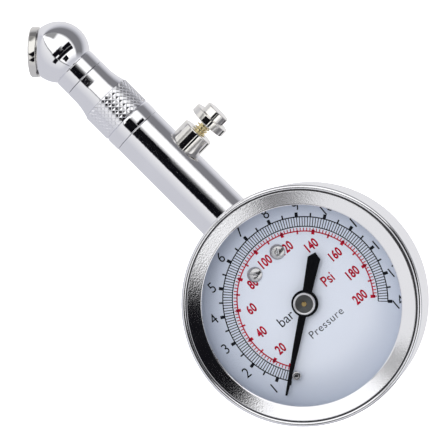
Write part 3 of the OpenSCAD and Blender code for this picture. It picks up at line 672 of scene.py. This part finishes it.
class OBJECT_OT_gauge_dial(GaugeOperator):
    """Spins the dial plate and prints its two scales"""

    bl_idname = "object.gauge_dial"
    bl_label = "Dial"

    def numbers(self, values, zero, step, radius, *style):
        """The upright numbers of one scale."""
        angles = [zero + step * value for value in values]
        places = [(radius * math.cos(angle), radius * math.sin(angle)) for angle in angles]
        return [dial_word(str(value), place, *style) for value, place in zip(values, places)]

    def zero(self, dial):
        """The angle where both scales would read nothing."""
        return math.radians(90) + dial.last_angle + dial.bar_step * dial.bar_full

    def print_black(self, shape, dial):
        """The outer scale, its numbers and the dark words."""
        zero = self.zero(dial)
        start = zero - dial.bar_step * dial.first_bar
        span = dial.bar_step * (dial.bar_full - dial.first_bar)
        band = dial.band_outer - dial.band_inner
        step = -dial.bar_step
        marks = [
            dial_circle("band_outer_line", dial.band_outer, 0.28 * MM, start, span, shape.steps),
            dial_circle("band_inner_line", dial.band_inner, 0.26 * MM, start, span, shape.steps),
            array_round(dial_mark("fine_marks", dial.band_inner, band, 0.2 * MM, start),
                        dial.bar_full * 10 - 4, step / 10),
            array_round(dial_mark("half_marks", dial.band_outer, 1.0 * MM, 0.4 * MM, zero + step * 0.5),
                        dial.bar_full, step),
            array_round(dial_mark("whole_marks", dial.band_outer, 1.15 * MM, 0.8 * MM, zero + step),
                        dial.bar_full, step),
        ]
        marks += self.numbers(range(1, dial.bar_full + 1), zero, step, dial.bar_number_radius,
                              dial.bar_number_height, 0.9)
        marks.append(dial_word("bar", (-6.9 * MM, -0.4 * MM), 2.6 * MM, 0.92))
        marks.append(dial_word("Pressure", (0.3 * MM, -7.9 * MM), 1.95 * MM, 0.98, -0.004, 1.1))
        return join("dial_print_black", marks)

    def print_red(self, shape, dial):
        """The inner scale and its numbers."""
        zero = self.zero(dial)
        psi = -dial.bar_step / dial.psi_per_bar
        first = 8
        start = zero + psi * first
        gap = dial.band_inner - dial.red_circle
        mark_foot = dial.red_circle - 0.75 * MM
        marks = [
            dial_circle("red_line", dial.red_circle, 0.32 * MM, start, -psi * (dial.psi_full - first),
                        shape.steps),
            array_round(dial_mark("two_marks", dial.red_circle, gap - 0.3 * MM, 0.24 * MM, start),
                        (dial.psi_full - first) // 2 + 1, psi * 2),
            array_round(dial_mark("ten_marks", mark_foot, 1.0 * MM, 0.42 * MM, zero + psi * 10),
                        dial.psi_full // 20, psi * 20),
            array_round(dial_mark("twenty_marks", mark_foot, 1.25 * MM, 0.8 * MM, zero + psi * 20),
                        dial.psi_full // 20, psi * 20),
        ]
        marks += self.numbers(range(20, dial.psi_full + 1, 20), zero, psi, dial.psi_number_radius,
                              dial.psi_number_height, 0.7, 0.036, 1.06)
        marks.append(dial_word("Psi", (7.8 * MM, 0.3 * MM), 2.75 * MM, 0.8, 0.016))
        return join("dial_print_red", marks)

    def execute(self, context):
        shape, dial, finish = self.settings(context)
        foot = low("dial").z
        hole = 2.2 * MM
        plate = turn("dial_plate", [
            (hole, foot), (DIAL_R, foot, 0.1), (DIAL_R, DIAL_TOP, 0.1), (hole, DIAL_TOP),
        ], shape.steps)
        dress(plate, enamel("dial_enamel", finish.dial), "case", "dial_print", "dial")
        black = ink("black_ink", finish.black_ink)
        red = ink("red_ink", finish.red_ink)
        for piece, material in ((self.print_black(shape, dial), black), (self.print_red(shape, dial), red)):
            settle(piece, (dial.shift[0], dial.shift[1], 0), about_z(dial.turn))
            dress(piece, material, "case", "dial_print")
        return {"FINISHED"}


class OBJECT_OT_gauge_pointer(GaugeOperator):
    """Shapes the needle with its tail, and spins the boss and the hub cap"""

    bl_idname = "object.gauge_pointer"
    bl_label = "Pointer"

    def execute(self, context):
        shape, _, finish = self.settings(context)
        tip = Vector((low("pointer").x, low("pointer").y, 0))
        needle_len = tip.length
        aim = math.atan2(tip.y, tip.x)
        tail_len = (high("pointer").xy).length
        thick = 0.42 * MM
        needle = fresh(bpy.ops.mesh.primitive_plane_add, "needle", size=2 * MM,
                       location=(0, 0, NEEDLE_FOOT))
        apply_place()
        bpy.ops.object.mode_set(mode="EDIT")
        for reach, width in ((12 * MM, 1.5 * MM), (needle_len - 1 * MM, 0.62 * MM), (needle_len, 0.5 * MM)):
            self.pull_end(needle, 1, reach, width)
        tail_end = tail_len - 1.45 * MM
        for reach, width in ((3 * MM, 2.35 * MM), (tail_end, 3.25 * MM), (tail_len, 0.05 * MM)):
            self.pull_end(needle, -1, reach, width)
        select_mode("faces")
        bpy.ops.mesh.select_all(action="SELECT")
        bpy.ops.mesh.extrude_region_move(TRANSFORM_OT_translate={"value": (0, 0, thick)})
        close_edit()
        modify(needle, "BEVEL", width=0.06 * MM, segments=2)
        settle(needle, turned=about_z(aim))
        bore, boss_r = 0.62 * MM, 3.45 * MM
        boss = turn("boss", [
            (bore, NEEDLE_FOOT), (boss_r, NEEDLE_FOOT, 0.1), (boss_r, BOSS_TOP, 0.12),
            (bore, BOSS_TOP),
        ], 96)
        pointer = join("pointer_needle", [needle, boss])
        shade(pointer)
        black = ink("pointer_black", (0.0025, 0.0025, 0.003, 1), 0.03)
        dress(pointer, black, "pointer_arbor", "pointer_black", "pointer")
        disc_r = HUB_R - 0.5 * MM
        shoulder = HUB_TOP - 0.14 * MM
        ring = turn("hub_ring", [
            (disc_r, BOSS_TOP), (HUB_R, BOSS_TOP, 0.1), (HUB_R, shoulder, 0.12),
            (HUB_R - 0.2 * MM, HUB_TOP, 0.14), (disc_r, shoulder, 0.06),
        ], 96)
        satin = plating("hub_rim_satin", shade_of(finish.chrome, 1.03), 0.42)
        dress(ring, satin, "pointer_arbor", "hub_metal", "pointer_hub")
        disc = turn("hub_disc", [
            (0.42 * MM, BOSS_TOP), (disc_r, BOSS_TOP), (disc_r, HUB_TOP - 0.2 * MM),
            (0.9 * MM, HUB_TOP - 0.24 * MM), (0.42 * MM, HUB_TOP - 0.36 * MM),
        ], 64)
        dark = machined("hub_gunmetal", (0.155, 0.16, 0.16, 1), 0.4, 2400)
        dress(disc, dark, "pointer_arbor", "hub_metal")
        tip_r = 0.4 * MM
        end = turn("arbor_end", [
            (0, BOSS_TOP), (tip_r, BOSS_TOP), (tip_r, HUB_TOP - 0.26 * MM, 0.12), (0, HUB_TOP - 0.22 * MM),
        ], 32, closed=False)
        brass = machined("arbor_end_brass", shade_of(finish.brass, 0.6), 0.35)
        dress(end, brass, "pointer_arbor", "hub_metal")
        return {"FINISHED"}

    def pull_end(self, needle, way, reach, width):
        """Extrudes the flat needle's end to a reach and sets the end's width."""
        select_mode("edges")
        mesh = bmesh.from_edit_mesh(needle.data)
        edge_at = max(v.co.x * way for v in mesh.verts)
        pick(needle, "edges", lambda e: all(abs(v.co.x * way - edge_at) < MERGE for v in e.verts))
        bpy.ops.mesh.extrude_region_move(TRANSFORM_OT_translate={"value": (way * (reach - edge_at), 0, 0)})
        mesh = bmesh.from_edit_mesh(needle.data)
        half = max(v.co.y for v in mesh.verts if v.select)
        bpy.ops.transform.resize(value=(1, width / 2 / half, 1), center_override=(0, 0, 0))


class OBJECT_OT_gauge_dial_screws(GaugeOperator):
    """Shapes the two domed dial screws and the pointer's stop pin"""

    bl_idname = "object.gauge_dial_screws"
    bl_label = "Dial Screws and Stop Pin"

    def execute(self, context):
        _, _, finish = self.settings(context)
        box_low, box_high = low("dial_screws"), high("dial_screws")
        head_r = (box_high.y - box_low.y) / 2
        head_top = box_high.z
        steel = plating("domed_screw_steel", (0.68, 0.68, 0.69, 1), 0.15, 0.002 * MM)
        screws = []
        for side in (-1, 1):
            screw = turn("dial_screw", [
                (0, DIAL_TOP), (head_r, DIAL_TOP), (head_r, DIAL_TOP + 0.32 * MM, 0.15),
                (head_r * 0.62, head_top - 0.12 * MM, 0.55), (0, head_top),
            ], 48, closed=False, crease=50)
            slot = fresh(
                bpy.ops.mesh.primitive_cube_add, "screw_slot", size=1, location=(0, 0, head_top),
                rotation=(0, 0, math.radians(50 * side)), scale=(1.9 * MM, 0.3 * MM, 0.3 * MM))
            cut(screw, slot)
            settle(screw, (side * (box_high.x - head_r), box_low.y + head_r, 0))
            shade(screw, 50)
            screws.append(screw)
        dress(join("dial_screw_heads", screws), steel, "case", "screw_steel", "dial_screws")
        pin_low, pin_high = low("stop_pin"), high("stop_pin")
        pin_r = (pin_high.x - pin_low.x) / 2
        pit = pin_high.z - 0.4 * MM
        pin = turn("stop_post", [
            (0, DIAL_TOP), (pin_r, DIAL_TOP), (pin_r, pin_high.z, 0.3),
            (pin_r * 0.45, pin_high.z, 0.1), (pin_r * 0.4, pit), (0, pit),
        ], 40, closed=False)
        settle(pin, ((pin_low.x + pin_high.x) / 2, (pin_low.y + pin_high.y) / 2, 0))
        dress(pin, steel, "case", "screw_steel", "stop_pin")
        return {"FINISHED"}


class OBJECT_OT_gauge_stem(GaugeOperator):
    """Spins the stem, saddles it to the case and bores it for the bleed valve"""

    bl_idname = "object.gauge_stem"
    bl_label = "Stem"

    def execute(self, context):
        shape, _, finish = self.settings(context)
        start = CASE_R - 2.5 * MM
        end = COLLAR_START - 0.05 * MM
        bore, spigot_r = 2 * MM, 5 * MM
        stem = turn("stem_tube", [
            (bore, start), (STEM_R, start), (STEM_R, end, 0.18), (spigot_r, end),
            (spigot_r, high("stem").y), (bore, high("stem").y),
        ], shape.steps)
        on_stem(stem)
        saddle_r, saddle_foot, saddle_top = CASE_R - 0.05 * MM, -5 * MM, 40 * MM
        saddle = turn("saddle", [
            (0, saddle_foot), (saddle_r, saddle_foot), (saddle_r, saddle_top), (0, saddle_top),
        ], shape.steps, closed=False)
        cut(stem, saddle)
        seat = turn("valve_seat", [
            (0, 4.6 * MM), (4.3 * MM, 4.6 * MM), (4.3 * MM, 9 * MM), (0, 9 * MM),
        ], 64, closed=False)
        cut(stem, on_valve(seat))
        shade(stem)
        dress(stem, plating("stem_chrome", finish.chrome, 0.03, 0.01 * MM, 2100), "case", "chrome", "stem")
        return {"FINISHED"}


class OBJECT_OT_gauge_collar(GaugeOperator):
    """Spins the collar and cuts its band of diamonds"""

    bl_idname = "object.gauge_collar"
    bl_label = "Knurled Collar"

    def knurl(self, shape, start, end, radius):
        """A sleeve of flat-topped diamonds with sloping cuts between them."""
        core = radius - shape.knurl_depth
        sleeve = fresh(
            bpy.ops.mesh.primitive_cylinder_add, "collar_knurl", vertices=shape.knurl_columns, radius=core,
            depth=end - start, location=(0, 0, (start + end) / 2), end_fill_type="NOTHING")
        apply_place()
        bpy.ops.object.mode_set(mode="EDIT")
        select_mode("edges")
        pick(sleeve, "edges", lambda e: abs(e.verts[0].co.z - e.verts[1].co.z) > MERGE)
        bpy.ops.mesh.subdivide(number_cuts=shape.knurl_rows - 1)
        select_mode("faces")
        bpy.ops.mesh.select_all(action="SELECT")
        mesh = bmesh.from_edit_mesh(sleeve.data)
        straight = {tuple(round(c / MERGE) for c in (e.verts[0].co + e.verts[1].co))
                    for e in mesh.edges if not e.is_boundary}
        bpy.ops.mesh.poke()
        select_mode("verts")
        pick(sleeve, "verts", lambda v: len(v.link_faces) == 4
             and all(len(f.verts) == 3 for f in v.link_faces)
             and math.hypot(v.co.x, v.co.y) < core - MERGE)
        outwards = 1 / math.cos(math.pi / shape.knurl_columns)
        bpy.ops.transform.resize(value=(outwards, outwards, 1), center_override=(0, 0, 0))
        select_mode("edges")
        pick(sleeve, "edges", lambda e: tuple(
            round(c / MERGE) for c in (e.verts[0].co + e.verts[1].co)) in straight)
        bpy.ops.mesh.dissolve_edges(use_verts=False)
        select_mode("faces")
        bpy.ops.mesh.select_all(action="SELECT")
        bpy.ops.mesh.normals_make_consistent(inside=False)
        pick(sleeve, "faces", lambda f: len(f.verts) == 4)
        bpy.ops.mesh.inset(use_individual=True, thickness=shape.knurl_gap, depth=shape.knurl_depth)
        bpy.ops.object.mode_set(mode="OBJECT")
        modify(sleeve, "SOLIDIFY", thickness=0.4 * MM, offset=-1)
        return sleeve

    def execute(self, context):
        shape, _, finish = self.settings(context)
        start, end = COLLAR_START, COLLAR_END
        nose_r = high("chuck_cap").z - STEM_Z - 0.52 * MM
        waist = COLLAR_R - 0.38 * MM
        knurl_start, knurl_end = start + 3.9 * MM, start + 11.5 * MM
        bore = 4.0 * MM
        collar = turn("collar_body", [
            (bore, start), (COLLAR_R - 0.1 * MM, start, 0.18),
            (COLLAR_R - 0.04 * MM, start + 2.2 * MM, 1),
            (COLLAR_R - 0.05 * MM, knurl_start - 0.4 * MM, 0.3), (waist, knurl_start, 0.2),
            (waist, knurl_end, 0.2), (COLLAR_R - 0.25 * MM, knurl_end + 0.15 * MM, 0.4),
            (nose_r, knurl_end + 3.2 * MM, 1.6), (nose_r, end, 0.15), (bore, end),
        ], shape.steps)
        sleeve = self.knurl(shape, knurl_start, knurl_end, COLLAR_R)
        on_stem(collar)
        on_stem(sleeve)
        chrome = plating("collar_chrome", finish.chrome)
        dress(collar, chrome, "case", "chrome", "collar")
        dress(sleeve, plating("knurl_chrome", finish.chrome, 0.06), "case", "chrome")
        return {"FINISHED"}


class OBJECT_OT_gauge_bleed_valve(GaugeOperator):
    """Spins the bleed valve's body and its stepped button"""

    bl_idname = "object.gauge_bleed_valve"
    bl_label = "Bleed Valve"

    def execute(self, context):
        _, _, finish = self.settings(context)
        nickel = plating("valve_nickel", finish.nickel, 0.05)
        body_r = (high("bleed_body").y - low("bleed_body").y) / 2
        body_out = high("bleed_body").x
        bore, plug_r = 1.3 * MM, 2.95 * MM
        plug_foot, plug_top, pocket = 2.2 * MM, 4.7 * MM, body_out - 3.4 * MM
        body = turn("bleed_valve_body", [
            (bore, plug_foot), (plug_r, plug_foot), (plug_r, plug_top), (body_r, plug_top),
            (body_r, body_out, 0.3), (2.15 * MM, body_out, 0.15), (2.1 * MM, pocket), (bore, pocket),
        ], 96)
        dress(on_valve(body), nickel, "case", "valve_nickel", "bleed_body")
        button_r = (high("bleed_button").y - low("bleed_button").y) / 2
        foot, top = low("bleed_button").x, high("bleed_button").x
        step = top - 2.25 * MM
        flange = foot + 0.55 * MM
        top_r, hub_r, pin_r = 3.3 * MM, 2.05 * MM, 1.12 * MM
        roof = step - 0.9 * MM
        button = turn("bleed_push_button", [
            (pin_r, foot), (hub_r, foot, 0.1), (hub_r, flange, 0.1),
            (button_r, flange, 0.2), (button_r, step, 0.2), (top_r, step, 0.1),
            (top_r, top, 0.25), (0, top), (0, roof), (pin_r, roof),
        ], 96, closed=False)
        dress(on_valve(button), nickel, "bleed_plunger", "valve_nickel", "bleed_button")
        return {"FINISHED"}


class OBJECT_OT_gauge_chuck(GaugeOperator):
    """Spins the chuck's neck and ball, bores its mouth, and adds the ring and the seal"""

    bl_idname = "object.gauge_chuck"
    bl_label = "Chuck"

    def execute(self, context):
        shape, _, finish = self.settings(context)
        cap_r = high("chuck_cap").z - STEM_Z
        neck_r = cap_r - 0.57 * MM
        start = COLLAR_END + 0.1 * MM
        flat = 5.0 * MM
        bore = 5.2 * MM
        groove = start + 4 * MM
        meet = BALL_Y - math.sqrt(BALL_R ** 2 - neck_r ** 2)
        arc = math.asin(neck_r / BALL_R)
        ball_steps = 56
        swing = [arc + (math.pi - arc) * i / ball_steps for i in range(1, ball_steps + 1)]
        ball = [(BALL_R * math.sin(a), BALL_Y - BALL_R * math.cos(a)) for a in swing]
        ball[-1] = (0, BALL_Y + BALL_R)
        spigot_r, spigot_foot = 3.9 * MM, start - 8 * MM
        head = turn("chuck_ball", [
            (0, spigot_foot), (spigot_r, spigot_foot), (spigot_r, start),
            (neck_r, start, 0.15), (neck_r, groove - 0.2 * MM, 0.06), (neck_r - 0.22 * MM, groove),
            (neck_r, groove + 0.2 * MM, 0.06), (neck_r, meet, 0.7), *ball,
        ], shape.steps, closed=False)
        on_stem(head)
        clear = BALL_R + 1 * MM
        well_r, well_foot, ledge = 2.6 * MM, -2.6 * MM, 1.3 * MM
        mouth = turn("mouth_cut", [
            (0, well_foot), (well_r, well_foot), (well_r, ledge), (bore, ledge), (bore, flat),
            (clear, flat), (clear, clear), (0, clear),
        ], 96, closed=False)
        cut(head, on_mouth(mouth))
        shade(head)
        dress(head, plating("chuck_chrome", finish.chrome), "chuck", "chrome", "chuck_head")
        top = 7.1 * MM
        inner = 4.25 * MM
        ring_foot, chamfer = top - 3.7 * MM, 0.3 * MM
        cap = turn("chuck_mouth_ring", [
            (inner, ring_foot), (5.15 * MM, ring_foot), (5.15 * MM, flat + 0.05 * MM),
            (cap_r, flat + 0.05 * MM, 0.2), (cap_r, top - chamfer, 0.08),
            (cap_r - chamfer, top, 0.08), (inner, top, 0.3),
        ], shape.steps)
        nickel = plating("mouth_ring_nickel", shade_of(finish.nickel, 0.86), 0.04)
        dress(on_mouth(cap), nickel, "chuck", "chrome", "chuck_cap")
        seal_top = top - 3.75 * MM
        seal_r, seal_bore, seal_foot = 5.1 * MM, 2.4 * MM, seal_top - 2.1 * MM
        seal = turn("chuck_mouth_seal", [
            (seal_bore, seal_foot), (seal_r, seal_foot), (seal_r, seal_top, 0.1),
            (2.9 * MM, seal_top, 0.3), (seal_bore, seal_top - 0.6 * MM, 0.2),
        ], 72)
        dress(on_mouth(seal), rubber("seal_rubber", finish.rubber), "chuck", "seal_rubber", "chuck_seal")
        return {"FINISHED"}


class OBJECT_OT_gauge_small_parts(GaugeOperator):
    """Gives the small and inner parts of the frame their finishes"""

    bl_idname = "object.gauge_small_parts"
    bl_label = "Small Parts"

    def execute(self, context):
        _, _, finish = self.settings(context)
        kinds = {
            "brass": machined("movement_brass", finish.brass),
            "tube_bronze": machined("tube_bronze", finish.bronze, 0.24),
            "screw_steel": machined("plain_steel", finish.steel, 0.3),
            "spring_brass": plating("spring_brass", (0.9, 0.78, 0.46, 1), 0.14),
            "seal_rubber": rubber("packing_rubber", finish.rubber),
            "gasket_rubber": rubber("gasket_rubber", finish.rubber),
        }
        slots = {s["node"]: s["material_slot"] for s in frame["record"]["subparts"]}
        for node, piece in frame["nodes"].items():
            if slots[node] in kinds:
                piece.data.materials.clear()
                piece.data.materials.append(kinds[slots[node]])
        return {"FINISHED"}


# ---------------------------------------------------------------- stage


class OBJECT_OT_gauge_stage(GaugeOperator):
    """Sets the pale floor, the soft studio and the camera"""

    bl_idname = "object.gauge_stage"
    bl_label = "Stage"

    def floor(self):
        """A wide white floor under the case."""
        floor = fresh(bpy.ops.mesh.primitive_plane_add, "stage_floor", size=6,
                      location=(0, 0, CASE_BACK - 0.02 * MM))
        apply_place()
        floor.data.materials.append(plain("stage_white", {
            "Base Color": (0.9, 0.9, 0.9, 1), "Roughness": 0.9,
            "Emission Color": (1, 1, 1, 1), "Emission Strength": 0.8}))
        floor.visible_glossy = False

    def studio(self):
        """Soft surroundings: a dark panel overhead, white panels beside it and lavender below."""
        world = bpy.data.worlds.new("studio")
        bpy.context.scene.world = world
        world.use_nodes = True
        nodes, links = world.node_tree.nodes, world.node_tree.links
        nodes.clear()
        place = nodes.new("ShaderNodeTexCoord").outputs["Generated"]
        split = nodes.new("ShaderNodeSeparateXYZ")
        links.new(place, split.inputs["Vector"])

        def math_node(operation, a, b=None):
            node = nodes.new("ShaderNodeMath")
            node.operation = operation
            for socket, value in zip(node.inputs, (a, b)):
                if value is None:
                    continue
                if isinstance(value, (int, float)):
                    socket.default_value = value
                else:
                    links.new(value, socket)
            return node.outputs[0]

        def ramp(source, stops):
            node = nodes.new("ShaderNodeValToRGB")
            links.new(source, node.inputs["Fac"])
            bar = node.color_ramp
            while len(bar.elements) < len(stops):
                bar.elements.new(1.0)
            for element, (degrees, color) in zip(bar.elements, stops):
                element.position = (degrees + 180) / 360
                element.color = (*color, 1)
            return node.outputs["Color"]

        side = math_node("ARCTAN2", split.outputs["X"], split.outputs["Z"])
        around = math_node("ADD", math_node("DIVIDE", side, FULL_TURN), 0.5)
        lift = math_node("ARCSINE", split.outputs["Y"])
        along = math_node("ADD", math_node("DIVIDE", lift, FULL_TURN), 0.5)
        pale, lavender, light = (0.8, 0.8, 0.82), (0.64, 0.645, 0.69), (0.86, 0.86, 0.87)
        white, grey, black = (1.2, 1.2, 1.2), (0.22, 0.22, 0.235), (0.004, 0.004, 0.006, 1)
        surround = ramp(around, [
            (-180, pale), (-150, lavender), (-60, lavender), (-24, light), (-17, light), (-12, white),
            (66, white), (76, grey), (108, grey), (130, lavender), (150, pale), (180, pale)])

        def patch(sides, lifts, depth, soft=1.5):
            """A dark patch between two sides and two lifts."""
            levels = (NONE, depth, depth, NONE)
            edges = [zip((a - soft, a, b, b + soft), levels) for a, b in (sides, lifts)]
            return math_node("MULTIPLY", ramp(around, list(edges[0])), ramp(along, list(edges[1])))

        overhead = math_node(
            "MULTIPLY",
            ramp(around, [(-18.5, NONE), (-16, FULL), (13, FULL), (23, SOME), (29, HALF), (36, NONE)]),
            ramp(along, [(-11.2, NONE), (-9.8, FULL), (5.8, FULL), (7.4, NONE)]))
        dark = overhead
        for other in (
                patch((-14, 64), (-27, -15.8), FULL), patch((26, 64), (-14.5, -1), FULL),
                patch((1, 26), (-16, -7), FULL), patch((-36, -16), (-24, -12), FULL),
                patch((38, 68), (48, 78), SOME, 8), patch((-15.5, -12), (-88, -14), SOME),
                patch((-19, -16.5), (-11, -6), SOME), patch((-15.5, -12), (-4, 10), SOME),
                patch((-14, -11), (12, 88), SOME), patch((-178, -112), (-79, -42), FULL, 2)):
            dark = math_node("MAXIMUM", dark, other)
        even = nodes.new("ShaderNodeMix")
        even.data_type = "RGBA"
        links.new(ramp(along, [(-90, FULL), (-62, FULL), (-44, NONE), (90, NONE)]), even.inputs["Factor"])
        links.new(surround, even.inputs[6])
        even.inputs[7].default_value = (*lavender, 1)
        mix = nodes.new("ShaderNodeMix")
        mix.data_type = "RGBA"
        links.new(dark, mix.inputs["Factor"])
        links.new(even.outputs[2], mix.inputs[6])
        mix.inputs[7].default_value = black
        lit = nodes.new("ShaderNodeBackground")
        links.new(mix.outputs[2], lit.inputs["Color"])
        plain = nodes.new("ShaderNodeBackground")
        plain.inputs["Color"].default_value = (1, 1, 1, 1)
        path = nodes.new("ShaderNodeLightPath")
        choose = nodes.new("ShaderNodeMixShader")
        links.new(path.outputs["Is Camera Ray"], choose.inputs["Fac"])
        links.new(lit.outputs["Background"], choose.inputs[1])
        links.new(plain.outputs["Background"], choose.inputs[2])
        out = nodes.new("ShaderNodeOutputWorld")
        links.new(choose.outputs["Shader"], out.inputs["Surface"])

    def lamp(self, name, place, size, power):
        """A soft lamp that lights the dial and the floor but isn't mirrored."""
        lamp = fresh(bpy.ops.object.light_add, name, type="AREA", location=place)
        lamp.data.shape = "DISK"
        lamp.data.size = size
        lamp.data.energy = power
        lamp.visible_glossy = False
        lamp.visible_camera = False
        lamp.rotation_euler = (-Vector(place)).to_track_quat("-Z", "Y").to_euler()

    def card(self):
        """A level black card over the bleed valve that only shows in the plating."""
        corner, far_corner = Vector((0, 52, 45)) * MM, Vector((13.5, 70, 45)) * MM
        card = fresh(bpy.ops.mesh.primitive_plane_add, "card_over_valve", size=1,
                     location=(corner + far_corner) / 2)
        card.scale = (far_corner.x - corner.x, far_corner.y - corner.y, 1)
        apply_place()
        card.data.materials.append(plain("card_black", {
            "Base Color": (0.004, 0.004, 0.005, 1), "Specular IOR Level": 0}))
        card.visible_camera = False
        card.visible_diffuse = False
        card.visible_transmission = False
        card.visible_shadow = False

    def camera(self):
        """A long lens that looks down on the dial, rolled so the stem runs up to the left."""
        lean, side, roll = math.radians(9.54), math.radians(-18.77), math.radians(-116.51)
        sight = Vector((math.sin(lean) * math.cos(side), math.sin(lean) * math.sin(side), math.cos(lean)))
        level = Vector((0, 0, 1)).cross(sight).normalized()
        upright = sight.cross(level)
        right = math.cos(roll) * level + math.sin(roll) * upright
        up = sight.cross(right)
        window = Vector((0, 0, FRONT - 0.4 * MM))
        distance, left_by, up_by = 1785 * MM, 19.96 * MM, 21.14 * MM
        camera = fresh(bpy.ops.object.camera_add, "camera")
        focal_length, sensor, nearest, farthest = 574.1, 36, 0.01, 20
        camera.data.lens = focal_length
        camera.data.sensor_width = sensor
        camera.data.clip_start = nearest
        camera.data.clip_end = farthest
        turned = Matrix((right, up, sight)).transposed().to_4x4()
        camera.matrix_world = Matrix.Translation(
            window + distance * sight - left_by * right + up_by * up) @ turned
        bpy.context.scene.camera = camera

    def execute(self, context):
        self.floor()
        self.studio()
        self.card()
        self.lamp("lamp_over_dial", (0.05, 0.1, 0.9), 0.7, 2.35)
        self.lamp("lamp_beside", (-0.7, -0.2, 0.6), 0.6, 0.86)
        self.camera()
        context.scene.view_settings.view_transform = "Standard"
        context.scene.view_settings.look = "None"
        return {"FINISHED"}


PIECES = (
    OBJECT_OT_gauge_case, OBJECT_OT_gauge_bezel, OBJECT_OT_gauge_lens, OBJECT_OT_gauge_dial,
    OBJECT_OT_gauge_pointer, OBJECT_OT_gauge_dial_screws, OBJECT_OT_gauge_stem, OBJECT_OT_gauge_collar,
    OBJECT_OT_gauge_bleed_valve, OBJECT_OT_gauge_chuck, OBJECT_OT_gauge_small_parts, OBJECT_OT_gauge_stage,
)


class VIEW3D_PT_gauge(Panel):
    """Lists the gauge's operators and settings"""

    bl_idname = "VIEW3D_PT_gauge"
    bl_label = "Tyre Pressure Gauge"
    bl_space_type = "VIEW_3D"
    bl_region_type = "UI"
    bl_category = "Gauge"

    def draw(self, context):
        for piece in PIECES:
            self.layout.operator(piece.bl_idname)
        for group in (context.scene.gauge_shape, context.scene.gauge_dial, context.scene.gauge_finish):
            box = self.layout.box()
            for name in group.__annotations__:
                box.prop(group, name)


CLASSES = (GaugeShapeSettings, GaugeDialSettings, GaugeFinishSettings, *PIECES, VIEW3D_PT_gauge)


def register():
    for cls in CLASSES:
        bpy.utils.register_class(cls)
    bpy.types.Scene.gauge_shape = PointerProperty(type=GaugeShapeSettings)
    bpy.types.Scene.gauge_dial = PointerProperty(type=GaugeDialSettings)
    bpy.types.Scene.gauge_finish = PointerProperty(type=GaugeFinishSettings)


def unregister():
    del bpy.types.Scene.gauge_finish
    del bpy.types.Scene.gauge_dial
    del bpy.types.Scene.gauge_shape
    for cls in reversed(CLASSES):
        bpy.utils.unregister_class(cls)


def main():
    """Builds every piece."""
    register()
    for piece in PIECES:
        group, name = piece.bl_idname.split(".")
        getattr(getattr(bpy.ops, group), name)()


if __name__ == "__main__":
    main()
